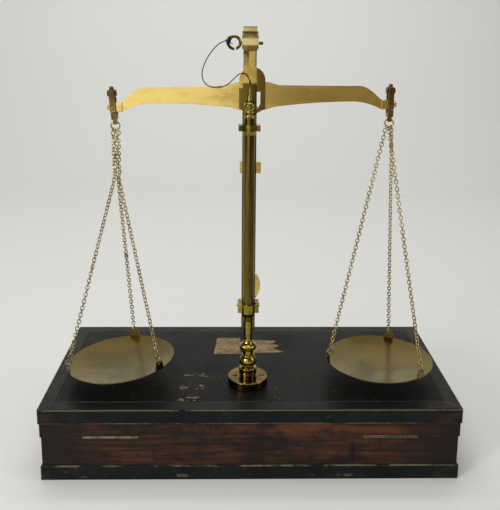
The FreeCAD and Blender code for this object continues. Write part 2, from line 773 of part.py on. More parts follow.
def make_lift_stop(parts):
    x0 = pillar_x + stop_shift - stop_width / 2
    block = box(x0, x0 + stop_width, bar_rear_y, bar_rear_y + stop_depth, stop_z, stop_z + stop_height)
    block = rounded(block, stop_round, Z_AXIS)
    screws = []
    for side in (-1, 1):
        place = V(pillar_x + side * stop_screw_spread, bar_rear_y + stop_depth, stop_z + stop_height / 2)
        length = stop_depth + stop_screw_bite
        screws.append(screw(place, Y_AXIS, small_screw_head_r, length=length))
        hole = shank_hole(place, Y_AXIS, length)
        block = block.cut(hole)
        parts["lift_bar"] = parts["lift_bar"].cut(hole)
    parts["lift_stop"] = block
    parts["lift_stop_screws"] = group(screws)


def outline_yz(start, steps):
    """An outline in the YZ plane. A step is (end,) for a line, or (middle, end) for an arc."""
    edges = []
    here = V(0, *start)
    for step in steps:
        there = V(0, *step[-1])
        if len(step) == 2:
            edges.append(Part.Arc(here, V(0, *step[0]), there).toShape())
        else:
            edges.append(Part.LineSegment(here, there).toShape())
        here = there
    return Part.Wire(edges)


def strap_profile(z_foot):
    """Outline of the gooseneck seen from its side: back from the bar, up behind the beam, over and down."""
    rear = strap_front_y + strap_thickness
    top = z_foot + strap_thickness
    inner_r, outer_r = hook_inner_r, hook_inner_r + strap_thickness
    hook_y = strap_front_y - hook_inner_r
    diagonal = math.sqrt(0.5)

    def bend(corner_y, corner_z, radius):
        """Start, middle and end of a quarter bend from level to upright."""
        centre_y, centre_z = corner_y - radius, corner_z + radius
        middle = (centre_y + radius * diagonal, centre_z - radius * diagonal)
        return (centre_y, corner_z), middle, (corner_y, centre_z)

    low_start, low_middle, low_end = bend(rear, z_foot, strap_bend_r + strap_thickness)
    in_start, in_middle, in_end = bend(strap_front_y, top, strap_bend_r)
    return outline_yz((bar_rear_y, z_foot), [
        (low_start,),
        (low_middle, low_end),
        ((rear, hook_centre_z),),
        ((hook_y, hook_centre_z + outer_r), (hook_y - outer_r, hook_centre_z)),
        ((hook_y - outer_r, hook_tip_z),),
        ((hook_y - inner_r, hook_tip_z),),
        ((hook_y - inner_r, hook_centre_z),),
        ((hook_y, hook_centre_z + inner_r), (strap_front_y, hook_centre_z)),
        (in_end,),
        (in_middle, in_start),
        ((bar_rear_y, top),),
        ((bar_rear_y, z_foot),),
    ])


def make_gooseneck(parts):
    strap = Part.Face(strap_profile(strap_foot_z)).extrude(V(strap_width, 0, 0))
    strap.translate(V(strap_x - strap_width / 2, 0, 0))
    parts["gooseneck"] = strap.fuse(tenon(bar_front_y, bar_rear_y)).removeSplitter()
    cheeks = []
    reach = V(strap_width, 0, 0)
    pin_middle = V(strap_x, beam_y, pin_z)
    bore = rod_between(pin_middle - reach, pin_middle + reach, pin_r + running_clearance)
    for side in (-1, 1):
        inner = V(strap_x + side * strap_width / 2, beam_y, cheek_z)
        cheeks.append(rod_between(inner, inner + X_AXIS * side * cheek_thickness, cheek_r).cut(bore))
    parts["gooseneck_cheeks"] = group(cheeks)


# ---- cross pin, ring and cord ------------------------------------------------------------

def make_cross_pin(parts):
    cheek_face = strap_width / 2 + cheek_thickness
    ring_x = strap_x - cheek_face - pin_ring_stand_off - pin_ring_r - pin_ring_wire_r
    centre = V(ring_x, beam_y, pin_z + pin_ring_rise)
    left = centre.x + pin_ring_r
    right = strap_x + cheek_face + pin_stub
    pin = rod_between(V(left, beam_y, pin_z), V(right, beam_y, pin_z), pin_r)
    tip = [e for e in pin.Edges if e.Closed and e.CenterOfMass.x > right - 0.1]
    pin = pin.makeFillet(pin_tip_round, tip)
    ring = torus(centre, pin_ring_r, pin_ring_wire_r, Y_AXIS)
    gap_x, bottom_z = centre.x + pin_ring_gap_shift, centre.z - pin_ring_r
    reach = pin_ring_wire_r + past
    gap = box(gap_x, gap_x + pin_ring_gap, beam_y - reach, beam_y + reach, bottom_z - reach, bottom_z + reach)
    ring = ring.cut(gap)
    parts["suspension_pin"] = pin.cut(ring)
    parts["pin_ring"] = ring


def cord_route():
    """The points that the pin's cord follows, from the ring to the top edge of the lift bar."""
    return [
        V(-23.6, -28.6, 399.1),
        V(-29.4, -29.8, 397.4),
        V(-35.6, -31.8, 391.2),
        V(-41.5, -34.0, 382.6),
        V(-45.4, -35.8, 373.0),
        V(-45.2, -36.8, 364.6),
        V(-40.2, -37.3, 358.8),
        V(-31.6, -37.6, 357.0),
        V(-23.4, -37.8, 359.4),
        V(-17.0, -38.0, 365.2),
        V(-11.8, -38.0, 370.6),
        V(-6.4, -37.2, 370.0),
        V(-3.0, -36.0, 366.0),
        V(-2.0, -35.15, bar_top_z + 0.3),
    ]


def cord_tube(route, diameter):
    """A cord's solid: straight runs joined by tangent arcs as large as the runs allow."""
    edges = []
    radii = []
    here = route[0]
    for before, corner, after in zip(route, route[1:], route[2:]):
        into, out = (corner - before), (after - corner)
        turn = into.getAngle(out)
        set_back = 0.45 * min(into.Length, out.Length)
        radius = set_back / math.tan(turn / 2)
        into.normalize()
        out.normalize()
        start, end = corner - into * set_back, corner + out * set_back
        inward = out - into
        inward.normalize()
        middle = corner + inward * (radius / math.cos(turn / 2) - radius)
        edges.append(Part.LineSegment(here, start).toShape())
        edges.append(Part.Arc(start, middle, end).toShape())
        radii.append(radius)
        here = end
    edges.append(Part.LineSegment(here, route[-1]).toShape())
    path = Part.Wire(edges)
    first = route[1] - route[0]
    section = Part.Wire([Part.Circle(route[0], first, diameter / 2).toShape()])
    tube = path.makePipeShell([section], True, True, 2)
    expected = math.pi * diameter**2 / 4 * path.Length
    print("cord length", round(path.Length, 1), "volume ratio", round(tube.Volume / expected, 4))
    print("cord radii", [round(r, 1) for r in radii])
    return tube


# ---- shears -----------------------------------------------------------------------------

def arch_plate(y0, y1):
    """The outline of the shears: an arch above, straight sides, and a blunt point below."""
    half = shears_width / 2
    left, right = beam_x - half, beam_x + half
    point_left, point_right = beam_x - shears_point_half, beam_x + shears_point_half

    def p(x, z):
        return V(x, y0, z)

    wire = Part.Wire([
        Part.LineSegment(p(left, shears_side_bottom_z), p(left, shears_arch_z)).toShape(),
        Part.Arc(p(left, shears_arch_z), p(beam_x, shears_arch_z + half), p(right, shears_arch_z)).toShape(),
        Part.LineSegment(p(right, shears_arch_z), p(right, shears_side_bottom_z)).toShape(),
        Part.LineSegment(p(right, shears_side_bottom_z), p(point_right, shears_point_z)).toShape(),
        Part.LineSegment(p(point_right, shears_point_z), p(point_left, shears_point_z)).toShape(),
        Part.LineSegment(p(point_left, shears_point_z), p(left, shears_side_bottom_z)).toShape(),
    ])
    return Part.Face(wire).extrude(V(0, y1 - y0, 0))


def window_points():
    """The opening in each cheek, round a central post that carries a bearing."""
    w, post = shears_window_half, bearing_post_half
    z0, z1 = shears_window_bottom_z, shears_window_top_z
    high = centre_knife_z + shears_window_peak
    post_top = centre_knife_z - bearing_post_drop
    corner_z = z0 + shears_window_corner
    right = [(post, post_top), (post, z0), (post + 1.0, z0), (w, corner_z), (w, z1), (post, z1), (post - 0.6, high)]
    left = [(-x, z) for x, z in reversed(right)]
    return [(beam_x + x, z) for x, z in right + left]


def make_shears(parts):
    shape = arch_plate(shears_front_y, shears_rear_y)
    inner_y0, inner_y1 = shears_front_y + shears_cheek, shears_rear_y - shears_cheek
    inside = box(
        beam_x - shears_width, beam_x + shears_width, inner_y0, inner_y1, shears_point_z - past, shears_bridge_z
    )
    window = plate_xz(window_points(), shears_front_y - past, shears_rear_y + past)
    shape = shape.cut(inside).cut(window)
    half_width, half_depth = stem_width / 2, stem_thickness / 2
    stem_z = shears_arch_z + shears_width / 2 - stem_root
    stem = box(beam_x - half_width, beam_x + half_width, beam_y - half_depth, beam_y + half_depth, stem_z, pin_z)
    middle, reach = V(beam_x, beam_y, pin_z), V(eye_width / 2, 0, 0)
    eye = rod_between(middle - reach, middle + reach, eye_r)
    bore = rod_between(middle - reach * 2, middle + reach * 2, pin_r + running_clearance)
    parts["shears"] = shape.fuse(stem).fuse(eye).cut(bore).removeSplitter()
    half, mouth = bearing_half, bearing_mouth_half
    low, high = centre_knife_z - bearing_post_drop, centre_knife_z + bearing_rise
    notch = centre_knife_z - knife_clearance
    outline = [(-half, low), (half, low), (half, high), (mouth, high), (0, notch), (-mouth, high), (-half, high)]
    outline = [(beam_x + x, z) for x, z in outline]
    blocks = []
    for y0 in (shears_front_y, shears_rear_y - shears_cheek):
        blocks.append(plate_xz(outline, y0, y0 + shears_cheek))
    parts["knife_bearings"] = group(blocks)


# ---- beam -------------------------------------------------------------------------------

def smooth_edge(points):
    """A curved edge through (x, z) points in the beam's front plane."""
    curve = Part.BSplineCurve()
    curve.interpolate([V(beam_x + x, 0, z) for x, z in points])
    return curve.toShape()


def beam_profile():
    """The beam's outline: deepest at the middle, an even arm, and ends that droop to the end blocks."""
    end_top, end_low = end_knife_z + end_block_height / 2, end_knife_z - end_block_height / 2
    top_flare = [(14.0, beam_top_z), (17.6, 361.3), (24.0, 359.2)]
    top_arm = [(24.0, 359.2), (60.0, 358.4), (96.0, 357.9)]
    top_end = [(96.0, 357.9), (107.0, 354.9), (113.0, 350.2), (beam_half, end_top)]
    low_flare = [(12.0, beam_low_z), (17.0, 338.5), (25.0, 339.9)]
    low_arm = [(25.0, 339.9), (58.0, 342.7), (92.0, 343.6)]
    low_end = [(92.0, 343.6), (107.0, 341.3), (beam_half, end_low)]

    edges = []
    for run in (top_flare, top_arm, top_end, low_flare, low_arm, low_end):
        for points in (run, [(-x, z) for x, z in reversed(run)]):
            edges.append(smooth_edge(points))
    straight = [
        ((-top_flare[0][0], beam_top_z), top_flare[0]),
        ((-low_flare[0][0], beam_low_z), low_flare[0]),
        ((beam_half, end_top), (beam_half, end_low)),
        ((-beam_half, end_top), (-beam_half, end_low)),
    ]
    for (x0, z0), (x1, z1) in straight:
        edges.append(Part.LineSegment(V(beam_x + x0, 0, z0), V(beam_x + x1, 0, z1)).toShape())
    return Part.Wire(Part.__sortEdges__(edges))


def centre_knife():
    """The knife that the beam rocks on: its edge points down."""
    w, z = knife_half_width, centre_knife_z
    shoulder, back = z + knife_slope, z + centre_knife_height
    outline = [(0, z), (w, shoulder), (w, back), (-w, back), (-w, shoulder)]
    outline = [(beam_x + x, height) for x, height in outline]
    return plate_xz(outline, shears_front_y - centre_knife_reach, shears_rear_y + centre_knife_reach)


def end_knife(side):
    """A knife that a stirrup hangs on: its edge points up."""
    w, z, x = knife_half_width, end_knife_z, beam_x + side * knife_half_span
    shoulder, back = z - knife_slope, z - end_knife_height
    outline = [(x, z), (x + w, shoulder), (x + w, back), (x - w, back), (x - w, shoulder)]
    return plate_xz(outline, beam_y - end_knife_length / 2, beam_y + end_knife_length / 2)


def end_block(side):
    """The block that ends the beam and holds an end knife."""
    inner, outer = beam_x + side * beam_half, beam_x + side * end_block_outer
    x0, x1 = min(inner, outer), max(inner, outer)
    half, tall = end_block_thickness / 2, end_block_height / 2
    block = box(x0, x1, beam_y - half, beam_y + half, end_knife_z - tall, end_knife_z + tall)
    return rounded(block, end_block_round, X_AXIS)


def end_nut(side):
    """The balance nut on the end of the beam: two flanges with a groove between."""
    inner = beam_x + side * end_block_outer
    axis = X_AXIS * side
    start = V(inner, beam_y, end_knife_z)
    third = end_nut_length / 3
    nut = Part.makeCylinder(end_nut_r * 0.75, end_nut_length, start, axis)
    for index in (0, 2):
        nut = nut.fuse(Part.makeCylinder(end_nut_r, third, start + axis * third * index, axis))
    return nut.removeSplitter()


def make_beam(parts):
    face = Part.Face(beam_profile())
    beam = face.extrude(V(0, beam_thickness, 0))
    beam.translate(V(0, beam_y - beam_thickness / 2, 0))
    for side in (-1, 1):
        x0, x1 = beam_x + side * beam_slot_inner, beam_x + side * beam_slot_outer
        y0, y1 = beam_y - beam_thickness, beam_y + beam_thickness
        beam = beam.cut(box(min(x0, x1), max(x0, x1), y0, y1, beam_slot_low_z, beam_slot_high_z))
    knife = centre_knife()
    parts["beam"] = beam.cut(knife)
    parts["centre_knife"] = knife
    blocks, knives, nuts = [], [], []
    for side in (-1, 1):
        blade = end_knife(side)
        blocks.append(end_block(side).cut(blade))
        knives.append(blade)
        nuts.append(end_nut(side))
    parts["beam_ends"] = group(blocks)
    parts["end_knives"] = group(knives)
    parts["balance_nuts"] = group(nuts)
    tip_z = beam_top_z + tongue_height
    right_edge = [(tongue_half, beam_top_z), (tongue_tip_half, tip_z)]
    left_edge = [(-x, z) for x, z in reversed(right_edge)]
    needle = [(beam_x + x, z) for x, z in right_edge + left_edge]
    parts["tongue"] = plate_xz(needle, beam_y - tongue_thickness / 2, beam_y + tongue_thickness / 2)
    pivot = V(beam_x, beam_y, centre_knife_z)
    for name in ("beam", "centre_knife", "beam_ends", "end_knives", "balance_nuts", "tongue"):
        parts[name] = turn_about(parts[name], pivot, Y_AXIS, beam_tilt)


def knife_place(side):
    """Where an end knife's edge is once the beam has tilted."""
    tilt = math.radians(beam_tilt)
    dx, dz = side * knife_half_span, end_knife_z - centre_knife_z
    x = dx * math.cos(tilt) + dz * math.sin(tilt)
    z = -dx * math.sin(tilt) + dz * math.cos(tilt)
    return V(beam_x + x, beam_y, centre_knife_z + z)


# ---- stirrups ----------------------------------------------------------------------------

def stirrup():
    """A stirrup about an end knife at the origin: two plates, a head with a knob, a base, a neck with an eye."""
    zero = end_knife_z
    w = stirrup_width / 2
    inner, outer = stirrup_inner_depth / 2, stirrup_inner_depth / 2 + stirrup_plate
    head0, head1 = stirrup_head_z - zero, stirrup_head_z + stirrup_head_height - zero
    base0, base1 = stirrup_base_z - zero, stirrup_base_z + stirrup_base_height - zero
    body = box(-w, w, -outer, outer, base0, head1)
    body = rounded(body, stirrup_round, Z_AXIS)
    body = body.cut(box(-2 * w, 2 * w, -inner, inner, base1, head0))
    half, shoulder = stirrup_slot_half, -stirrup_slot_shoulder
    low = -stirrup_slot_drop
    slot = [(-half, low), (half, low), (half, shoulder), (0, knife_clearance), (-half, shoulder)]
    body = body.cut(plate_xz(slot, -outer - past, outer + past))
    head_middle, reach = V(0, 0, (head0 + head1) / 2), V(w + stirrup_barrel_stand, 0, 0)
    barrel = rod_between(head_middle - reach, head_middle + reach, stirrup_barrel_r)
    knob_low, knob_top = head1 - stirrup_round, head1 + 2.9
    knob_steps = [(1.9, knob_low), (1.9, head1 + 1.2), (1.0, knob_top, 1.7, head1 + 2.4), (0, knob_top)]
    knob = turned((0, knob_low), knob_steps)
    eye_z = stirrup_eye_z - zero
    neck_x, neck_y = stirrup_neck_width / 2, stirrup_neck_depth / 2
    neck = box(-neck_x, neck_x, -neck_y, neck_y, eye_z - stirrup_neck_drop, base0 + stirrup_round)
    neck = rounded(neck, stirrup_round, Y_AXIS)
    eye = rod_between(V(-stirrup_width, 0, eye_z), V(stirrup_width, 0, eye_z), stirrup_eye_r)
    return body.fuse(barrel).fuse(knob).fuse(neck).cut(eye).removeSplitter()


def eye_place(side, lean):
    """The middle of a stirrup's eye once the stirrup has leaned."""
    drop = stirrup_eye_z - end_knife_z
    angle = math.radians(lean)
    return knife_place(side) + V(drop * math.sin(angle), 0, drop * math.cos(angle))


def ring_place(side, lean):
    return eye_place(side, lean) - V(0, 0, hanger_ring_r)


# ---- chains -------------------------------------------------------------------------------

def link(length):
    """One oval link about the origin, long axis along Z, lying in the XZ plane."""
    r = link_half_width - link_wire_r
    straight = length / 2 - link_wire_r - r
    top, low = straight, -straight
    path = Part.Wire([
        Part.LineSegment(V(r, 0, low), V(r, 0, top)).toShape(),
        Part.Arc(V(r, 0, top), V(0, 0, top + r), V(-r, 0, top)).toShape(),
        Part.LineSegment(V(-r, 0, top), V(-r, 0, low)).toShape(),
        Part.Arc(V(-r, 0, low), V(0, 0, low - r), V(r, 0, low)).toShape(),
    ])
    section = Part.Wire([Part.Circle(V(r, 0, low), Z_AXIS, link_wire_r).toShape()])
    return path.makePipeShell([section], True, True)


def along(points, distance):
    """The point at a distance along a line of points."""
    for start, end in zip(points, points[1:]):
        run = end - start
        if distance <= run.Length:
            break
        distance -= run.Length
    return start + run * min(distance / run.Length, 1.0)


def chain(points, first_normal, last_normal):
    """Links along a line of points. The normals are those of the first and last links' planes."""
    total = sum((b - a).Length for a, b in zip(points, points[1:]))
    count = round(total / link_pitch)
    pitch = total / count
    nodes = [along(points, pitch * index) for index in range(count + 1)]
    pattern = link(pitch + link_play)
    directions = []
    for start, end in zip(nodes, nodes[1:]):
        direction = end - start
        direction.normalize()
        directions.append(direction)
    normals = []
    normal = first_normal
    for direction in directions:
        normal = normal - direction * normal.dot(direction)
        normal.normalize()
        normals.append(normal)
    side = normals[-1].cross(directions[-1])
    wanted = math.atan2(last_normal.dot(side * -1), last_normal.dot(normals[-1]))
    turn = wanted - (count - 1) * math.pi / 2
    twist = (turn + math.pi / 2) % math.pi - math.pi / 2
    solids = []
    for index, (start, end) in enumerate(zip(nodes, nodes[1:])):
        direction, normal = directions[index], normals[index]
        angle = math.degrees(index * math.pi / 2 + twist * index / (count - 1))
        normal = FreeCAD.Rotation(direction, angle).multVec(normal)
        rotation = FreeCAD.Rotation(direction.cross(normal), normal, direction * -1, "ZYX")
        solid = pattern.copy()
        solid.Placement = FreeCAD.Placement((start + end) * 0.5, rotation)
        solids.append(solid)
    return solids


def pan_centre(side):
    """The middle of a pan's rim. The right pan hangs a little further out than its knife."""
    reach = knife_half_span + pan_shift if side > 0 else knife_half_span
    return V(beam_x + side * reach, beam_y, pan_rim_z)


def tab_hole(side, angle, tilt):
    """The middle of a tab's hole, and the outward direction there, on a pan tilted about Y."""
    centre = pan_centre(side)
    outward = V(math.cos(math.radians(angle)), math.sin(math.radians(angle)), 0)
    place = centre + outward * (pan_r - tab_thickness / 2) + V(0, 0, tab_height - tab_hole_below_top)
    turn = FreeCAD.Rotation(Y_AXIS, tilt)
    return centre + turn.multVec(place - centre), turn.multVec(outward)


def jump_ring(hole, pull, across):
    """A jump ring through a tab's hole. pull points up the chain and across is the ring's axis."""
    centre = hole + pull * jump_ring_r
    return torus(centre, jump_ring_r, jump_wire_r, across)


def hang_points(side, lean):
    """Where the chains hang on a ring: at its left, bottom and right, with the ring's tangent at each."""
    centre = ring_place(side, lean)
    places = []
    for degrees in (-hang_angle, 0.0, hang_angle):
        a = math.radians(degrees)
        down = V(math.sin(a), 0, -math.cos(a))
        tangent = V(math.cos(a), 0, math.sin(a))
        places.append((centre + down * hanger_ring_r, tangent))
    return places


def knee_points(side, lean):
    """The ends of the three top links, spread far enough apart for the chains to pass each other."""
    centre = ring_place(side, lean)
    drop = -hanger_ring_r - knee_drop
    left, right = V(-knee_spread, knee_rear, drop), V(knee_spread, knee_rear, drop)
    middle = V(0, -knee_front, drop - knee_middle_drop)
    return [centre + left, centre + middle, centre + right]


def twisted(knee, centre, start_angle):
    """Points of a chain that winds round its neighbours down to the foot of the twist."""
    points = []
    for index in range(twist_steps + 1):
        share = index / twist_steps
        a = math.radians(start_angle + twist_turn * share)
        z = knee.z + (twist_bottom_z - knee.z) * share
        target = V(centre.x + twist_r * math.cos(a), centre.y + twist_r * math.sin(a), z)
        ease = min(1.0, share / twist_ease_share)
        start = V(knee.x, knee.y, z)
        points.append(start + (target - start) * ease)
    return points


def hang_pan(parts, name, side, lean, tilt, angles, twist):
    """One pan with its ring, three chains and jump rings. twist says that the chains wind together."""
    rim = pan_centre(side)
    ring_centre = ring_place(side, lean)
    parts[name + "_hanger_ring"] = torus(ring_centre, hanger_ring_r, hanger_wire_r, Y_AXIS)
    hangs, knees = hang_points(side, lean), knee_points(side, lean)
    solids = []
    for angle, index in zip(angles, tab_to_hang):
        hole, outward = tab_hole(side, angle, tilt)
        place, tangent = hangs[index]
        knee = knees[index]
        middle = [knee]
        if twist:
            middle = twisted(knee, ring_centre, twist_starts[index])
        pull = middle[-1] - hole
        pull.normalize()
        across = pull.cross(outward)
        across.normalize()
        ring_top = hole + pull * 2 * jump_ring_r
        overlap = link_play / 2 - link_wire_r
        end = ring_top - pull * (jump_wire_r + link_wire_r + link_gap - overlap)
        first = knee - place
        first.normalize()
        square = math.sqrt(1 - tangent.dot(first) ** 2)
        start = place - first * ((hanger_wire_r + link_wire_r) / square + ring_gap - overlap)
        last_normal = across.cross(pull)
        solids.extend(chain([start] + middle + [end], tangent, last_normal))
        solids.append(jump_ring(hole, pull, across))
    parts[name + "_chains"] = group(solids)
    parts[name + "_pan"] = turn_about(pan(rim, angles), rim, Y_AXIS, tilt)


def pan(rim, angles):
    """A shallow pan raised from sheet, with three tabs turned up from its rim."""
    t = pan_thickness
    curve_r = (pan_r**2 + pan_depth**2) / (2 * pan_depth)
    half_r = pan_r / 2
    half_z = curve_r - pan_depth - math.sqrt(curve_r**2 - half_r**2)
    steps = [
        (pan_r, -t, half_r, half_z - t),
        (pan_r, 0),
        (0, -pan_depth, half_r, half_z),
    ]
    dish = turned((0, -pan_depth - t), steps)
    for angle in angles:
        half_base, half_top = tab_base / 2, tab_top / 2
        outline = [
            (-half_base, -tab_root), (half_base, -tab_root), (half_top, tab_height), (-half_top, tab_height),
        ]
        tab = rounded(plate_xz(outline, -tab_thickness, 0), tab_round, Y_AXIS)
        hole_z = tab_height - tab_hole_below_top
        tab = tab.cut(rod_between(V(0, -tab_thickness - past, hole_z), V(0, past, hole_z), tab_hole_r))
        tab.rotate(V(0, 0, 0), Z_AXIS, angle - 90)
        tab.translate(V(math.cos(math.radians(angle)), math.sin(math.radians(angle)), 0) * pan_r)
        dish = dish.fuse(tab)
    dish = dish.removeSplitter()
    dish.translate(rim)
    return dish


def make_hangings(parts):
    for name, side, lean in (("left", -1, left_stirrup_lean), ("right", 1, 0.0)):
        shape = stirrup()
        shape.translate(knife_place(side))
        parts[name + "_stirrup"] = turn_about(shape, knife_place(side), Y_AXIS, lean)
    hang_pan(parts, "left", -1, left_stirrup_lean, left_pan_tilt, left_tab_angles, twist=True)
    hang_pan(parts, "right", 1, 0.0, 0.0, right_tab_angles, twist=False)


def main():
    parts = {}
    make_case(parts)
    make_lid(parts)
    make_hinges(parts)
    make_catch(parts)
    make_label(parts)
    make_pillar(parts)
    make_collars(parts)
    make_clamp(parts)
    make_lift_bar(parts)
    make_lift_stop(parts)
    make_gooseneck(parts)
    make_cross_pin(parts)
    parts["pin_cord"] = cord_tube(cord_route(), cord_diameter)
    make_shears(parts)
    make_beam(parts)
    make_hangings(parts)
    os.makedirs("parts", exist_ok=True)
    for name, shape in parts.items():
        shape.exportStep("parts/" + name + ".step")
    print(len(parts), "nodes")


main()
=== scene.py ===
"""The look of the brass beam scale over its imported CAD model: materials, cord and chipped polish. Metres."""

import math
import random

import bmesh
import bpy
from mathutils import Matrix, Vector, noise


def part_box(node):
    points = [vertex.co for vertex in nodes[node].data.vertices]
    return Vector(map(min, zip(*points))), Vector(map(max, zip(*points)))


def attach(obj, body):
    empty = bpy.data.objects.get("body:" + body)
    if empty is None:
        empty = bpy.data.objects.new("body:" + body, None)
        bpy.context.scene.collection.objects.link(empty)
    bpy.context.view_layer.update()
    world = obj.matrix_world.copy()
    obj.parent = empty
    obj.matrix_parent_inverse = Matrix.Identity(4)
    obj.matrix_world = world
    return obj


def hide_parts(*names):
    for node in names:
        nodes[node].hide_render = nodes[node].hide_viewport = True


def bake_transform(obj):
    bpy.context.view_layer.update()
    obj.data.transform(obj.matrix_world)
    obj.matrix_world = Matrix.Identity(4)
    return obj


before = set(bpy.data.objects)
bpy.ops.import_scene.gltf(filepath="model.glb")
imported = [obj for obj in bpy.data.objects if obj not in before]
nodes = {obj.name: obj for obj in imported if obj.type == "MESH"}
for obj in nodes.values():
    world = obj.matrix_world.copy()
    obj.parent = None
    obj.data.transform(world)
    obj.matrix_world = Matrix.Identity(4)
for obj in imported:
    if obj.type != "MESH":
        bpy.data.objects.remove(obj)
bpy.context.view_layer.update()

scene = bpy.context.scene
MM = 0.001


# ---- camera ----------------------------------------------------------------------------

# Solved from the photograph: the edges of the case, the plumb pans and the beam
CAMERA_PLACE = (-0.01425, -0.68703, 0.40927)
CAMERA_PITCH = 0.2073
CAMERA_YAW = -0.0196
CAMERA_ROLL = 0.0076
CAMERA_LENS = 50.62
CAMERA_SENSOR = 36.0
CAMERA_SHIFT_Y = -0.147
CAMERA_CLIP_START = 0.01


def make_camera():
    data = bpy.data.cameras.new("camera")
    data.lens = CAMERA_LENS
    data.sensor_width = CAMERA_SENSOR
    data.shift_y = CAMERA_SHIFT_Y
    data.clip_start = CAMERA_CLIP_START
    camera = bpy.data.objects.new("camera", data)
    scene.collection.objects.link(camera)
    yaw = Matrix.Rotation(CAMERA_YAW, 4, "Z")
    pitch = Matrix.Rotation(math.pi / 2 - CAMERA_PITCH, 4, "X")
    roll = Matrix.Rotation(CAMERA_ROLL, 4, "Z")
    turn = yaw @ pitch @ roll
    camera.matrix_world = Matrix.Translation(CAMERA_PLACE) @ turn
    scene.camera = camera


# ---- stage and light ---------------------------------------------------------------------

FLOOR_COLOR = (0.70, 0.705, 0.685)
FLOOR_ROUGHNESS = 0.6
FLOOR_FRONT_Y = -1.2
FLOOR_REACH = 4.0
WALL_Y = 1.9
WALL_HEIGHT = 3.0
CURVE_R = 0.8
CURVE_STEPS = 12

WORLD_COLOR = (1.0, 0.98, 0.94)
WORLD_STRENGTH = 0.10
DAYLIGHT = (1.0, 0.985, 0.95)
SOFT_WHITE = (1.0, 0.99, 0.97)
COOL_WHITE = (0.95, 0.97, 1.0)
AMBER = (1.0, 0.62, 0.20)

# Each area light's name, place, target, width and height, power in watts, and colour
LIGHTS = (
    ("window", (-0.75, -1.50, 0.70), (-0.75, 0, 0.70), (1.55, 1.5), 7.2, DAYLIGHT),
    ("key", (-1.15, -1.15, 0.85), (0.05, 0.2, 0.22), (0.4, 0.4), 12, SOFT_WHITE),
    ("backdrop", (0.0, 0.70, 1.9), (0.0, 1.9, 0.6), (2.6, 0.6), 18.5, SOFT_WHITE),
    ("overhead", (-0.15, -0.10, 1.75), (0, 0.10, 0), (1.6, 1.2), 15.5, SOFT_WHITE),
    ("side", (1.5, -0.5, 0.9), (0, 0, 0.2), (0.6, 1.2), 4.8, COOL_WHITE),
    ("room", (0.65, -1.60, 0.35), (0.65, 0, 0.35), (1.1, 0.8), 0.42, AMBER),
)


def make_stage():
    """A pale floor that curves up into a wall behind the scale."""
    profile = [(FLOOR_FRONT_Y, 0.0), (WALL_Y - CURVE_R, 0.0)]
    for step in range(1, CURVE_STEPS + 1):
        a = math.pi / 2 * step / CURVE_STEPS
        profile.append((WALL_Y - CURVE_R + CURVE_R * math.sin(a), CURVE_R - CURVE_R * math.cos(a)))
    profile.append((WALL_Y, WALL_HEIGHT))
    points = []
    for y, z in profile:
        points += [(-FLOOR_REACH, y, z), (FLOOR_REACH, y, z)]
    faces = [(2 * i, 2 * i + 1, 2 * i + 3, 2 * i + 2) for i in range(len(profile) - 1)]
    mesh = bpy.data.meshes.new("floor")
    mesh.from_pydata(points, [], faces)
    for face in mesh.polygons:
        face.use_smooth = True
    floor = bpy.data.objects.new("floor", mesh)
    scene.collection.objects.link(floor)
    material = bpy.data.materials.new("floor")
    material.use_nodes = True
    shader = material.node_tree.nodes["Principled BSDF"]
    shader.inputs["Base Color"].default_value = (*FLOOR_COLOR, 1)
    shader.inputs["Roughness"].default_value = FLOOR_ROUGHNESS
    mesh.materials.append(material)


def area_light(name, place, target, size, energy, color):
    data = bpy.data.lights.new(name, "AREA")
    data.shape = "RECTANGLE"
    data.size, data.size_y = size
    data.energy = energy
    data.color = color
    light = bpy.data.objects.new(name, data)
    light.location = place
    light.rotation_euler = (Vector(target) - Vector(place)).to_track_quat("-Z", "Y").to_euler()
    light.visible_camera = False
    scene.collection.objects.link(light)


def make_lights():
    world = bpy.data.worlds.new("world")
    world.use_nodes = True
    background = world.node_tree.nodes["Background"]
    background.inputs["Color"].default_value = (*WORLD_COLOR, 1)
    background.inputs["Strength"].default_value = WORLD_STRENGTH
    scene.world = world
    for light in LIGHTS:
        area_light(*light)


# ---- material building blocks -----------------------------------------------------------

EVEN = (1, 1, 1)
EDGE_LOW = 0.02
EDGE_HIGH = 0.25
SCRATCH_DEPTH = 0.03 * MM
SOFT_EDGE = 0.3 * MM


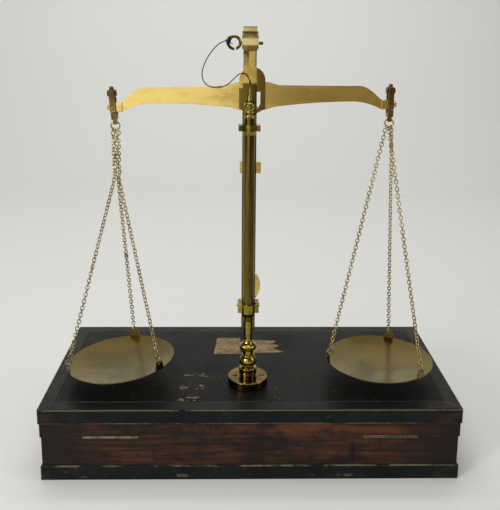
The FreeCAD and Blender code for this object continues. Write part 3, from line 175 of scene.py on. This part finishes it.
class Shader:
    """A Principled material with short names for the nodes that its colour and roughness are made of."""

    def __init__(self, name):
        self.material = bpy.data.materials.new(name)
        self.material.use_nodes = True
        self.tree = self.material.node_tree
        self.main = self.tree.nodes["Principled BSDF"]
        self.place = self.tree.nodes.new("ShaderNodeTexCoord").outputs["Object"]

    def link(self, source, target):
        self.tree.links.new(source, target)

    def stretched(self, factors):
        node = self.tree.nodes.new("ShaderNodeVectorMath")
        node.operation = "MULTIPLY"
        self.link(self.place, node.inputs[0])
        node.inputs[1].default_value = factors
        return node.outputs[0]

    def noise(self, scale, detail, stretch=EVEN, roughness=0.55, distortion=0.0):
        node = self.tree.nodes.new("ShaderNodeTexNoise")
        self.link(self.stretched(stretch), node.inputs["Vector"])
        node.inputs["Scale"].default_value = scale
        node.inputs["Detail"].default_value = detail
        node.inputs["Roughness"].default_value = roughness
        node.inputs["Distortion"].default_value = distortion
        return node.outputs["Fac"]

    def cells(self, scale):
        """Distance to the nearest of many scattered points."""
        node = self.tree.nodes.new("ShaderNodeTexVoronoi")
        self.link(self.place, node.inputs["Vector"])
        node.inputs["Scale"].default_value = scale
        return node.outputs["Distance"]

    def range(self, value, low, high, out_low=0.0, out_high=1.0):
        """A smooth step from out_low, at low or less, to out_high, at high or more."""
        node = self.tree.nodes.new("ShaderNodeMapRange")
        node.interpolation_type = "SMOOTHSTEP"
        self.link(value, node.inputs["Value"])
        node.inputs["From Min"].default_value = low
        node.inputs["From Max"].default_value = high
        node.inputs["To Min"].default_value = out_low
        node.inputs["To Max"].default_value = out_high
        return node.outputs["Result"]

    def math(self, operation, a, b):
        node = self.tree.nodes.new("ShaderNodeMath")
        node.operation = operation
        for socket, value in zip(node.inputs, (a, b)):
            if isinstance(value, (int, float)):
                socket.default_value = value
            else:
                self.link(value, socket)
        return node.outputs[0]

    def plus(self, a, b):
        return self.math("ADD", a, b)

    def times(self, a, b):
        return self.math("MULTIPLY", a, b)

    def larger(self, a, b):
        return self.math("MAXIMUM", a, b)

    def mix(self, factor, a, b):
        """Colour a where the factor is 0, and colour b where it is 1."""
        node = self.tree.nodes.new("ShaderNodeMix")
        node.data_type = "RGBA"
        self.link(factor, node.inputs["Factor"])
        for socket, value in ((node.inputs[6], a), (node.inputs[7], b)):
            if isinstance(value, tuple):
                socket.default_value = (*value, 1)
            else:
                self.link(value, socket)
        return node.outputs[2]

    def axis(self, name):
        node = self.tree.nodes.new("ShaderNodeSeparateXYZ")
        self.link(self.place, node.inputs[0])
        return node.outputs[name]

    def distance(self, name, value=0.0):
        """Distance from a place along an axis."""
        return self.math("ABSOLUTE", self.math("SUBTRACT", self.axis(name), value), 0)

    def near(self, name, value, width):
        """1 at a place along an axis, falling to 0 at a distance of width."""
        return self.range(self.distance(name, value), 0.0, width, 1.0, 0.0)

    def edges(self, radius):
        """1 on sharp edges and 0 on flat faces."""
        bevel = self.tree.nodes.new("ShaderNodeBevel")
        bevel.inputs["Radius"].default_value = radius
        geometry = self.tree.nodes.new("ShaderNodeNewGeometry")
        dot = self.tree.nodes.new("ShaderNodeVectorMath")
        dot.operation = "DOT_PRODUCT"
        self.link(bevel.outputs[0], dot.inputs[0])
        self.link(geometry.outputs["Normal"], dot.inputs[1])
        return self.range(self.math("SUBTRACT", 1.0, dot.outputs["Value"]), EDGE_LOW, EDGE_HIGH)

    def color(self, value):
        self.link(value, self.main.inputs["Base Color"])

    def roughness(self, value):
        self.link(value, self.main.inputs["Roughness"])

    def bump(self, height, distance, strength, radius=0.0):
        """Relief from a height, with edges that look rounded to a radius."""
        node = self.tree.nodes.new("ShaderNodeBump")
        node.inputs["Strength"].default_value = strength
        node.inputs["Distance"].default_value = distance
        self.link(height, node.inputs["Height"])
        if radius:
            bevel = self.tree.nodes.new("ShaderNodeBevel")
            bevel.inputs["Radius"].default_value = radius
            self.link(bevel.outputs[0], node.inputs["Normal"])
        self.link(node.outputs[0], self.main.inputs["Normal"])

    def set(self, **values):
        for name, value in values.items():
            self.main.inputs[name.replace("_", " ")].default_value = value


# ---- metals ---------------------------------------------------------------------------------

STAIN_OLIVE = (0.120, 0.093, 0.018)
STAIN_WARM = (0.190, 0.120, 0.042)
STAIN_DARK = (0.075, 0.05, 0.018)
PAN_TONE = (0.205, 0.150, 0.036)
SHEARS_BRIGHT = (0.76, 0.56, 0.16)
SHEARS_DULL = (0.60, 0.42, 0.11)
# Painted shade on the shears: its colour, where it begins across X, and the legs' height and blend
SHEARS_PAINTED_SHADE = (0.115, 0.072, 0.018)
SHEARS_SHADE_X = (0.004, 0.006)
SHEARS_LEG_SHADE_HEIGHT = 0.024
SHEARS_LEG_SHADE_BLEND = 0.001
CREST_TONE = (0.40, 0.30, 0.10)
CREST_DULL = (0.23, 0.145, 0.05)
CREST_PAINTED_HIGHLIGHT = (0.92, 0.76, 0.36)
CREST_FOOT_REFLECTION = (0.74, 0.54, 0.18)
CREST_CROWN = (0.15, 0.115, 0.04)
CREST_PAINTED_SHADOW = (0.13, 0.07, 0.025)
# Heights from the middle of the painted highlight band, in metres
CREST_REFLECTION_Z = (-0.024, -0.017)
CREST_CROWN_Z = (0.005, 0.007)
CREST_SHADOW_Z = -0.0105
CREST_SHADOW_HALF = 0.0065
# The painted highlight band's rise above the pin's middle, and its half height
PIN_HIGHLIGHT_RISE = 1.5 * MM
PIN_HIGHLIGHT_HALF = 4.2 * MM


def brass(name, bright, dull, tarnish, rough, amount, stretch=EVEN, round_edge=SOFT_EDGE):
    """Old brass: a bright and a dull tone in clouds, brown tarnish in patches and fine handling scratches."""
    s = Shader(name)
    clouds = s.noise(55, 5, stretch)
    spots = s.noise(240, 6, stretch, 0.65)
    tone = s.mix(s.range(clouds, 0.38, 0.62), bright, dull)
    patches = s.range(s.plus(s.times(spots, 0.6), s.times(clouds, 0.5)), 0.52, 0.72, 0.0, amount)
    s.color(s.mix(patches, tone, tarnish))
    s.roughness(s.range(s.plus(s.times(patches, 0.5), s.times(spots, 0.5)), 0.2, 0.6, *rough))
    s.set(Metallic=1.0)
    scratches = s.noise(900, 3, (stretch[0], stretch[1], stretch[2] * 0.15))
    s.bump(scratches, SCRATCH_DEPTH, 0.35, round_edge)
    return s.material


def pan_brass(name):
    """Satin sheet brass: broad warm and olive stains, faint spinning marks and a few dark spots."""
    s = Shader(name)
    broad = s.noise(17, 3, EVEN, 0.5, 0.6)
    cloudy = s.noise(60, 4)
    tone = s.mix(s.range(broad, 0.36, 0.64), PAN_TONE, STAIN_OLIVE)
    tone = s.mix(s.range(cloudy, 0.42, 0.68, 0.0, 0.45), tone, STAIN_WARM)
    spots = s.range(s.noise(150, 5, EVEN, 0.7), 0.62, 0.74, 0.0, 0.6)
    s.color(s.mix(spots, tone, STAIN_DARK))
    s.roughness(s.range(broad, 0.3, 0.7, 0.20, 0.32))
    s.set(Metallic=1.0)
    s.bump(s.noise(700, 3, (0.2, 1, 1)), 0.02 * MM, 0.3)
    return s.material


def shears_brass(name, foot_z):
    """Bright brass on the arch's left, with painted shade on its right side and down the legs."""
    s = Shader(name)
    clouds = s.noise(110, 5)
    tone = s.mix(s.range(clouds, 0.38, 0.62), SHEARS_BRIGHT, SHEARS_DULL)
    # Painted shade: the right side and the legs are darkened to brown
    right = s.range(s.plus(s.axis("X"), s.times(clouds, 0.002)), *SHEARS_SHADE_X)
    legs_z = foot_z + SHEARS_LEG_SHADE_HEIGHT
    legs = s.range(s.axis("Z"), legs_z - SHEARS_LEG_SHADE_BLEND, legs_z + SHEARS_LEG_SHADE_BLEND, 1.0, 0.0)
    s.color(s.mix(s.times(s.larger(right, legs), 0.86), tone, SHEARS_PAINTED_SHADE))
    s.roughness(s.range(clouds, 0.3, 0.7, 0.12, 0.24))
    s.set(Metallic=1.0)
    s.bump(s.noise(900, 3, (1, 1, 0.2)), SCRATCH_DEPTH, 0.35, SOFT_EDGE)
    return s.material


def crest_brass(name, height, half_width):
    """Brown-toned brass with a painted highlight in a band round the pin, a painted reflection lightening its
    lower part, painted shadow below the hook's tip, and darker towards the crown.
    """
    s = Shader(name)
    clouds = s.noise(120, 5, (1, 1, 0.7), 0.6)
    tone = s.mix(s.range(clouds, 0.40, 0.60), CREST_TONE, CREST_DULL)
    # Painted highlight: a bright band at the pin's height
    wear_and_highlight = s.range(s.distance("Z", height), half_width * 0.45, half_width, 1.0, 0.0)
    tone = s.mix(wear_and_highlight, tone, CREST_PAINTED_HIGHLIGHT)
    # Painted reflection: the lower part is lightened towards bright brass
    foot_reflection = s.range(s.axis("Z"), height + CREST_REFLECTION_Z[0], height + CREST_REFLECTION_Z[1], 1.0, 0.0)
    tone = s.mix(s.times(foot_reflection, 0.7), tone, CREST_FOOT_REFLECTION)
    crown = s.range(s.axis("Z"), height + CREST_CROWN_Z[0], height + CREST_CROWN_Z[1], 0.0, 0.8)
    tone = s.mix(crown, tone, CREST_CROWN)
    # Painted shadow: a dark band below the hook's tip
    under_hook = s.near("Z", height + CREST_SHADOW_Z, CREST_SHADOW_HALF)
    hook_shadow = s.times(under_hook, s.range(clouds, 0.40, 0.56, 0.35, 0.95))
    s.color(s.mix(hook_shadow, tone, CREST_PAINTED_SHADOW))
    s.roughness(s.range(clouds, 0.3, 0.7, 0.16, 0.30))
    s.set(Metallic=1.0)
    s.bump(s.noise(900, 3, (1, 1, 0.15)), SCRATCH_DEPTH, 0.35, SOFT_EDGE)
    return s.material


def steel(name):
    """Browned steel with rust spots."""
    s = Shader(name)
    clouds = s.noise(120, 5)
    rust = s.range(s.noise(420, 6), 0.55, 0.72)
    tone = s.mix(s.range(clouds, 0.35, 0.65), (0.20, 0.17, 0.12), (0.09, 0.075, 0.05))
    s.color(s.mix(rust, tone, (0.17, 0.10, 0.05)))
    s.roughness(s.range(clouds, 0.3, 0.7, 0.28, 0.5))
    s.set(Metallic=1.0)
    s.bump(s.noise(1500, 3), SCRATCH_DEPTH, 0.4, 0.2 * MM)
    return s.material


# ---- wood -----------------------------------------------------------------------------------

MAHOGANY_DARK = (0.018, 0.0075, 0.0045)
MAHOGANY_RED = (0.062, 0.024, 0.011)
MAHOGANY_ORANGE = (0.13, 0.042, 0.015)
GRIME = (0.0085, 0.0072, 0.0062)
BLOT = (0.012, 0.0065, 0.0045)
REPAIR_TONE = (0.006, 0.0065, 0.006)
REPAIR_HALF = 3.2 * MM
REPAIR_BLEND = 1.0 * MM
CHIPPED = (0.17, 0.10, 0.05)
WORN_EDGE = (0.22, 0.14, 0.075)
SCUFF = (0.085, 0.060, 0.040)
PICKED = (0.34, 0.22, 0.12)
RUBBED_BROWN = (0.080, 0.042, 0.025)
RUBBED_X = (0.165, 0.215)
WORN_TAN_AND_HIGHLIGHT = (0.20, 0.155, 0.105)


def mahogany(name, along, ends=None, repair=None):
    """Dark polished mahogany: long grain, orange streaks, grime, chips and worn edges.

    Ends is the half length of a board that is blackened towards both ends. Repair is the place in X and
    the lowest and highest Z of a black upright patch.
    """
    s = Shader(name)
    stretch = (0.06, 1, 1) if along == "X" else (1, 0.06, 1)
    grain = s.noise(330, 6, stretch, 0.6, 0.4)
    streaks = s.noise(60, 4, stretch, 0.6, 0.8)
    dirt = s.noise(26, 5, EVEN, 0.6)
    tone = s.mix(s.range(grain, 0.36, 0.64), MAHOGANY_DARK, MAHOGANY_RED)
    warm = s.range(s.times(streaks, s.noise(14, 3, (0.4, 1, 1))), 0.26, 0.38)
    tone = s.mix(s.times(warm, 0.6), tone, MAHOGANY_ORANGE)
    grime = s.range(dirt, 0.44, 0.66, 0.0, 0.9)
    if ends:
        wavy = s.plus(s.distance("X"), s.times(dirt, 0.06))
        grime = s.larger(grime, s.range(wavy, ends * 0.74, ends * 1.10, 0.0, 0.88))
    tone = s.mix(grime, tone, GRIME)
    blots = s.range(s.noise(75, 7, (0.6, 1, 1), 0.75), 0.50, 0.64, 0.0, 0.7)
    tone = s.mix(blots, tone, BLOT)
    if repair:
        x, low, high = repair
        above = s.range(s.axis("Z"), low, low + REPAIR_BLEND)
        below = s.range(s.axis("Z"), high, high + REPAIR_BLEND, 1.0, 0.0)
        patch = s.times(s.near("X", x, REPAIR_HALF), s.times(above, below))
        tone = s.mix(patch, tone, REPAIR_TONE)
    chips = s.range(s.noise(210, 6, (0.5, 1, 1), 0.7), 0.66, 0.72)
    tone = s.mix(s.times(chips, 0.7), tone, CHIPPED)
    pale_edges = s.times(s.edges(0.8 * MM), s.range(s.noise(90, 5), 0.44, 0.60))
    s.color(s.mix(s.times(pale_edges, 0.8), tone, WORN_EDGE))
    s.roughness(s.range(s.plus(dirt, s.times(grain, 0.4)), 0.4, 1.0, 0.24, 0.55))
    s.set(Specular_IOR_Level=0.14, Coat_Weight=0.04, Coat_Roughness=0.2)
    s.bump(s.plus(grain, s.times(dirt, 0.6)), 0.12 * MM, 0.5, 0.5 * MM)
    return s.material


def ebonised(name, tint, worn_highlight_lines=(), top=False):
    """Black polished wood, worn tan on its edges and with painted highlight lines along some of them, with
    scuffs and picked specks.

    Each worn highlight line is a painted highlight along an edge, broken up as if worn: a height, a half width
    and the noise level above which it shows. All but the lid's top is also worn brown towards both ends.
    """
    s = Shader(name)
    clouds = s.noise(22, 5)
    grain = s.noise(260, 5, (0.08, 1, 1), 0.6)
    tone = s.mix(s.range(clouds, 0.35, 0.65), tint, tuple(c * 0.55 for c in tint))
    scuffs = s.range(s.noise(420, 7, (0.35, 1, 1), 0.7), 0.60, 0.70)
    tone = s.mix(s.times(scuffs, 0.55), tone, SCUFF)
    specks = s.range(s.cells(130), 0.0, 0.10, 1.0, 0.0)
    picked = s.times(specks, s.range(s.noise(60, 3), 0.60, 0.66))
    tone = s.mix(s.times(picked, 0.9), tone, PICKED)
    pale_edges = s.times(s.edges(0.9 * MM), s.range(s.noise(110, 7, EVEN, 0.7), 0.36, 0.58, 0.12, 0.9))
    # Painted highlight lines along edges, broken up as if worn, join the worn edges
    for height, half_width, level in worn_highlight_lines:
        broken = s.range(s.noise(70, 7, (0.5, 1, 1), 0.7), level, level + 0.12)
        pale_edges = s.larger(pale_edges, s.times(s.near("Z", height, half_width), broken))
    if not top:
        reach = s.plus(s.distance("X"), s.times(clouds, 0.05))
        worn_ends = s.range(reach, *RUBBED_X)
        wear_and_highlight = s.times(worn_ends, s.range(s.noise(95, 7, (0.6, 1, 1), 0.7), 0.46, 0.60))
        tone = s.mix(s.times(wear_and_highlight, 0.28), tone, RUBBED_BROWN)
    s.color(s.mix(s.times(pale_edges, 0.8), tone, WORN_TAN_AND_HIGHLIGHT))
    s.roughness(s.range(s.plus(clouds, s.times(scuffs, 0.5)), 0.3, 1.0, 0.30, 0.58))
    if top:
        s.set(Specular_IOR_Level=0.07, Coat_Weight=0.0, Coat_Roughness=0.25)
    else:
        s.set(Specular_IOR_Level=0.12, Coat_Weight=0.03, Coat_Roughness=0.25)
    s.bump(s.plus(s.times(grain, 0.7), scuffs), 0.09 * MM, 0.5, 0.6 * MM)
    return s.material


def bare_wood(name):
    """Unpolished pale wood with a fine grain."""
    s = Shader(name)
    grain = s.noise(300, 6, (0.06, 1, 1), 0.6)
    s.color(s.mix(s.range(grain, 0.36, 0.64), (0.34, 0.21, 0.115), (0.20, 0.105, 0.05)))
    s.set(Roughness=0.7)
    s.bump(grain, 0.1 * MM, 0.4)
    return s.material


def paper(name):
    """Yellowed paper, foxed, marked with stains and worn away to the dark wood in places."""
    s = Shader(name)
    stains = s.noise(70, 6, EVEN, 0.65)
    tone = s.mix(s.range(stains, 0.38, 0.62), (0.25, 0.175, 0.070), (0.135, 0.09, 0.033))
    lost = s.range(s.noise(190, 7, EVEN, 0.7), 0.56, 0.63)
    s.color(s.mix(s.times(lost, 0.85), tone, (0.035, 0.028, 0.02)))
    s.set(Roughness=0.75)
    s.bump(stains, 0.2 * MM, 0.5)
    return s.material


def braid(name):
    """Dull black braided cord."""
    s = Shader(name)
    weave = s.noise(1600, 2)
    s.color(s.mix(s.range(weave, 0.4, 0.6), (0.0035, 0.004, 0.0045), (0.012, 0.013, 0.014)))
    s.set(Roughness=0.7, Specular_IOR_Level=0.15)
    s.bump(weave, 0.2 * MM, 0.7)
    return s.material


# Each brass: its bright, dull and tarnished tone, lowest and highest roughness, amount of tarnish,
# and where they differ from brass()'s own, the stretch of its clouds and the rounding of its edges
BROWN = (0.16, 0.095, 0.035)
BRASSES = {
    "polished_brass": ((0.80, 0.57, 0.18), (0.66, 0.46, 0.14), BROWN, (0.13, 0.26), 0.35),
    "beam_brass": ((0.82, 0.63, 0.20), (0.74, 0.55, 0.16), BROWN, (0.20, 0.32), 0.22, (0.3, 1, 1)),
    "column_brass": (
        (0.140, 0.108, 0.021), (0.070, 0.053, 0.010), (0.030, 0.021, 0.007), (0.09, 0.18), 0.6, (1, 1, 0.12),
    ),
    "dull_brass": ((0.34, 0.26, 0.055), (0.19, 0.14, 0.03), (0.06, 0.04, 0.012), (0.12, 0.24), 0.6),
    "flange_brass": ((0.25, 0.18, 0.045), (0.14, 0.095, 0.026), (0.055, 0.033, 0.012), (0.14, 0.28), 0.6),
    "bronze": ((0.24, 0.15, 0.06), (0.15, 0.09, 0.035), (0.05, 0.03, 0.015), (0.28, 0.5), 0.6),
    "chain_brass": (
        (0.50, 0.42, 0.17), (0.34, 0.28, 0.11), (0.09, 0.07, 0.025), (0.20, 0.36), 0.45, EVEN, 0.0,
    ),
}

# The nodes that wear each material
WEARERS = {
    "polished_brass": ("lift_stop", "clamp_shaft", "clamp_lever", "balance_nuts"),
    "beam_brass": ("beam", "beam_ends"),
    "shears_brass": ("shears",),
    "flange_brass": ("pillar_flange", "flange_screws"),
    "crest_brass": ("gooseneck", "gooseneck_cheeks"),
    "column_brass": ("pillar_tube", "pillar_rod", "lift_bar", "pin_ring", "suspension_pin"),
    "dull_brass": (
        "pillar_foot", "upper_collar", "upper_collar_plate", "lower_collar", "finial", "tongue",
        "catch_hook", "catch_screw", "catch_stud",
    ),
    "pan_brass": ("left_pan", "right_pan"),
    "bronze": ("left_stirrup", "right_stirrup", "collar_screws"),
    "chain_brass": ("left_chains", "right_chains", "left_hanger_ring", "right_hanger_ring"),
    "worn_steel": (
        "hinge_case_leaves", "hinge_lid_leaves", "hinge_pins", "hinge_case_screws", "hinge_lid_screws",
        "centre_knife", "end_knives", "knife_bearings", "lift_stop_screws",
    ),
    "plinth_black": ("plinth_long_rails", "plinth_side_rails"),
    "moulding_black": ("lid_frame_long_rails", "lid_frame_side_rails"),
    "lid_top_black": ("lid_panel",),
    "mahogany_body": ("front_board",),
    "mahogany_long": ("rear_board", "lid_front_board", "lid_rear_board"),
    "mahogany_short": ("left_board", "right_board", "lid_left_board", "lid_right_board"),
    "bare_wood": ("bottom_board",),
    "old_paper": ("paper_label",),
}

PLINTH_TINT = (0.0075, 0.0105, 0.011)
MOULDING_TINT = (0.0065, 0.0095, 0.0097)
LID_TOP_TINT = (0.0082, 0.0085, 0.0078)
# Worn highlight lines, painted highlights along edges broken up as if worn: height and half width in metres,
# and the noise level above which they show
PLINTH_WORN_HIGHLIGHTS = ((0.0138, 0.0012, 0.46), (0.004, 0.0025, 0.56))
MOULDING_FOOT_WORN_HIGHLIGHT = (0.0570, 0.0011, 0.46)
LID_EDGE_DROP = 1.2 * MM
LID_EDGE_WORN_HIGHLIGHT = (0.0009, 0.36)
# The front board's repair: its place in X, and its lowest and highest Z
BODY_REPAIR = (0.0946, 0.016, 0.036)


def paint_all():
    half_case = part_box("front_board")[1][0]
    lid_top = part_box("lid_frame_long_rails")[1][2]
    pin_low, pin_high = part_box("suspension_pin")
    highlight_z = (pin_low[2] + pin_high[2]) / 2 + PIN_HIGHLIGHT_RISE
    moulding_worn_highlights = (MOULDING_FOOT_WORN_HIGHLIGHT, (lid_top - LID_EDGE_DROP, *LID_EDGE_WORN_HIGHLIGHT))
    made = [(brass, name, *look) for name, look in BRASSES.items()]
    made += [
        (pan_brass, "pan_brass"),
        (shears_brass, "shears_brass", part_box("shears")[0][2]),
        (crest_brass, "crest_brass", highlight_z, PIN_HIGHLIGHT_HALF),
        (steel, "worn_steel"),
        (ebonised, "plinth_black", PLINTH_TINT, PLINTH_WORN_HIGHLIGHTS),
        (ebonised, "moulding_black", MOULDING_TINT, moulding_worn_highlights),
        (ebonised, "lid_top_black", LID_TOP_TINT, (), True),
        (mahogany, "mahogany_body", "X", half_case, BODY_REPAIR),
        (mahogany, "mahogany_long", "X", half_case),
        (mahogany, "mahogany_short", "Y"),
        (bare_wood, "bare_wood"),
        (paper, "old_paper"),
    ]
    looks = {name: make(name, *look) for make, name, *look in made}
    for look, names in WEARERS.items():
        for name in names:
            materials = nodes[name].data.materials
            materials.clear()
            materials.append(looks[look])


# ---- the cord ----------------------------------------------------------------------------------

CORD_DIAMETER = 0.9 * MM
ROUTE_STEPS = 12
TUBE_SIDES = 10
KNOT_SIDES = 8

# The ring's winding: turns, its start and sweep in degrees round the ring, and its points
WINDING_TURNS = 6
WINDING_START = 128
WINDING_SWEEP = 62
WINDING_STEPS = 120
# Shares of the cord's diameter: a flattened turn's distance from the wire, its radius, and the loose end's
WINDING_OFF = 0.42
WINDING_RADIUS = 0.46
LOOSE_RADIUS = 0.42
# The loose end's points in millimetres from the ring's centre
LOOSE_END = ((-3.9, -1.4, 0.6), (-3.2, -1.8, -0.2), (-2.2, -1.6, -0.9), (-1.2, -1.2, -0.6))

# Each knot is a short coil: its name, end of the cord, offset in millimetres, axis and body
KNOTS = (
    ("ring_knot", 0, (0.2, 0.15, 0.1), (1, 0.1, 0.1), "cross_pin"),
    ("bar_knot", -1, (0, 0, 0.4), (0.1, 0.2, 1), "lift"),
)
KNOT_TURNS = 3
KNOT_STEPS = 48
KNOT_LENGTH = 1.7 * MM
KNOT_RADIUS = 0.55 * MM
KNOT_CORD_RADIUS = 0.33 * MM

# From the split ring to the top of the lift bar, in millimetres
CORD_ROUTE = [
    (-23.6, -28.6, 399.1),
    (-29.4, -29.8, 397.4),
    (-35.6, -31.8, 391.2),
    (-41.5, -34.0, 382.6),
    (-45.4, -35.8, 373.0),
    (-45.2, -36.8, 364.6),
    (-40.2, -37.3, 358.8),
    (-31.6, -37.6, 357.0),
    (-23.4, -37.8, 359.4),
    (-17.0, -38.0, 365.2),
    (-11.8, -38.0, 370.6),
    (-6.4, -37.2, 370.0),
    (-3.0, -36.0, 366.0),
    (-2.0, -35.15, 361.5),
]


def smooth_line(points):
    """Points along the smooth curve that has the route's points as its control points."""
    data = bpy.data.curves.new("cord_line", "CURVE")
    data.dimensions = "3D"
    spline = data.splines.new("NURBS")
    spline.points.add(len(points) - 1)
    for point, place in zip(spline.points, points):
        point.co = (*[c * MM for c in place], 1)
    spline.order_u = 3
    spline.use_endpoint_u = True
    spline.resolution_u = ROUTE_STEPS
    carrier = bpy.data.objects.new("cord_line", data)
    mesh = bpy.data.meshes.new_from_object(carrier)
    line = [v.co.copy() for v in mesh.vertices]
    bpy.data.objects.remove(carrier)
    bpy.data.curves.remove(data)
    bpy.data.meshes.remove(mesh)
    return line


def tube_along(name, line, radius, sides):
    """A closed mesh tube that follows a line of points."""
    mesh = bpy.data.meshes.new(name)
    bm = bmesh.new()
    side = None
    rings = []
    for i, point in enumerate(line):
        ahead = (line[min(i + 1, len(line) - 1)] - line[max(i - 1, 0)]).normalized()
        if side is None:
            side = ahead.orthogonal().normalized()
        side = (side - ahead * side.dot(ahead)).normalized()
        other = ahead.cross(side)
        ring = []
        for k in range(sides):
            a = 2 * math.pi * k / sides
            ring.append(bm.verts.new(point + (side * math.cos(a) + other * math.sin(a)) * radius))
        rings.append(ring)
    for low, high in zip(rings, rings[1:]):
        for k in range(sides):
            bm.faces.new((low[k], low[(k + 1) % sides], high[(k + 1) % sides], high[k]))
    bm.faces.new(list(reversed(rings[0])))
    bm.faces.new(rings[-1])
    bm.to_mesh(mesh)
    bm.free()
    for face in mesh.polygons:
        face.use_smooth = True
    obj = bpy.data.objects.new(name, mesh)
    scene.collection.objects.link(obj)
    return obj


def wind_ring(material):
    """The cord's turns round the left of the pin's ring, and its loose end inside the ring."""
    low, high = (Vector(corner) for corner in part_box("pin_ring"))
    centre = (low + high) / 2
    wire = (high.y - low.y) / 2
    ring = (high.x - low.x) / 2 - wire
    off = wire + CORD_DIAMETER * WINDING_OFF
    points = []
    for k in range(WINDING_STEPS + 1):
        a = math.radians(WINDING_START + WINDING_SWEEP * k / WINDING_STEPS)
        b = 2 * math.pi * WINDING_TURNS * k / WINDING_STEPS
        outward = Vector((math.cos(a), 0, math.sin(a)))
        points.append(centre + outward * (ring + off * math.cos(b)) + Vector((0, off * math.sin(b), 0)))
    winding = tube_along("ring_winding", points, CORD_DIAMETER * WINDING_RADIUS, KNOT_SIDES)
    loose = [centre + Vector(place) * MM for place in LOOSE_END]
    loose_end = tube_along("ring_loose_end", loose, CORD_DIAMETER * LOOSE_RADIUS, KNOT_SIDES)
    for piece in (winding, loose_end):
        piece.data.materials.append(material)
        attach(piece, "cross_pin")
    return winding


def make_cord():
    material = braid("cord_braid")
    line = smooth_line(CORD_ROUTE)
    cord = tube_along("pin_cord_soft", line, CORD_DIAMETER / 2, TUBE_SIDES)
    cord.data.materials.append(material)
    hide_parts("pin_cord")
    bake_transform(cord)
    knots = [wind_ring(material)]
    for name, end, offset, direction, body in KNOTS:
        centre = line[end] + Vector(offset) * MM
        axis = Vector(direction).normalized()
        side = axis.orthogonal().normalized()
        other = axis.cross(side)
        coil = []
        for k in range(KNOT_STEPS + 1):
            a = 2 * math.pi * KNOT_TURNS * k / KNOT_STEPS
            along = axis * (k / KNOT_STEPS - 0.5) * KNOT_LENGTH
            coil.append(centre + along + (side * math.cos(a) + other * math.sin(a)) * KNOT_RADIUS)
        knot = tube_along(name, coil, KNOT_CORD_RADIUS, KNOT_SIDES)
        knot.data.materials.append(material)
        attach(knot, body)
        knots.append(knot)


# ---- chipped polish on the lid -------------------------------------------------------------------

CHIP_SEED = 7
CHIP_LIFT = 0.04 * MM
CHIP_GROUPS = 22
FLAKE_CORNERS = 11
FLAKE_RAGGED = 0.55
# Groups that show in the photograph, in millimetres from the flange's front left and front right corners
STREAKS_LEFT = ((-32, 34), (-34, 10), (-38, -13))
NICKS_RIGHT = ((30, 19), (45, 17))
# A streak's and a nick's flakes: the reach of a group and the scale of its flakes
STREAK = (11 * MM, 1.5)
STREAK_FLAKES = 13
NICK = (5 * MM, 0.62)
NICK_FLAKES = (1, 3)
FLANGE_GAP = 5 * MM
CHIPPED_PALE = (0.28, 0.15, 0.075)
CHIPPED_BROWN = (0.12, 0.06, 0.03)


def flake(bm, x, y, z, size, seed):
    """One irregular flat patch where the polish has come away."""
    rim = []
    for k in range(FLAKE_CORNERS):
        a = 2 * math.pi * k / FLAKE_CORNERS
        ragged = noise.noise(Vector((math.cos(a) * 1.3, math.sin(a) * 1.3, seed * 3.7)))
        wobble = 1 + FLAKE_RAGGED * ragged
        rim.append(bm.verts.new((x + math.cos(a) * size[0] * wobble, y + math.sin(a) * size[1] * wobble, z)))
    bm.faces.new(rim)


def place_chips(rng):
    """The groups' places on the lid: those in the photograph, then scattered ones beside the flange."""
    panel_low, panel_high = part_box("lid_panel")
    flange_low, flange_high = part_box("pillar_flange")
    left_x, right_x, front_y = flange_low[0], flange_high[0], flange_low[1]
    groups = [(left_x + x * MM, front_y + y * MM) for x, y in STREAKS_LEFT]
    groups += [(right_x + x * MM, front_y + y * MM) for x, y in NICKS_RIGHT]
    while len(groups) < CHIP_GROUPS:
        x = rng.uniform(panel_low[0] * 0.8, panel_high[0] * 0.65)
        y = rng.uniform(panel_low[1] * 0.95, flange_high[1])
        if x < left_x - FLANGE_GAP or x > right_x + FLANGE_GAP:
            groups.append((x, y))
    return groups


def make_chips():
    rng = random.Random(CHIP_SEED)
    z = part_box("lid_panel")[1][2] + CHIP_LIFT
    bm = bmesh.new()
    for index, (x, y) in enumerate(place_chips(rng)):
        streaky = index < len(STREAKS_LEFT)
        count = STREAK_FLAKES if streaky else rng.randint(*NICK_FLAKES)
        reach, scale = STREAK if streaky else NICK
        for extra in range(count):
            size = (rng.uniform(0.5, 1.9) * scale * MM, rng.uniform(0.3, 0.65) * scale * MM)
            place = (x + rng.uniform(-reach, reach), y + rng.uniform(-0.35, 0.35) * reach)
            flake(bm, *place, z, size, index + 31 * (extra + 1))
    mesh = bpy.data.meshes.new("lid_chips")
    bm.to_mesh(mesh)
    bm.free()
    chips = bpy.data.objects.new("lid_chips", mesh)
    scene.collection.objects.link(chips)
    s = Shader("chipped_wood")
    s.color(s.mix(s.range(s.noise(800, 4), 0.4, 0.6), CHIPPED_PALE, CHIPPED_BROWN))
    s.set(Roughness=0.7)
    s.bump(s.noise(900, 4), 0.2 * MM, 0.6)
    mesh.materials.append(s.material)
    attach(chips, "lid")


make_camera()
make_stage()
make_lights()
scene.view_settings.view_transform = "Standard"
make_cord()
paint_all()
make_chips()
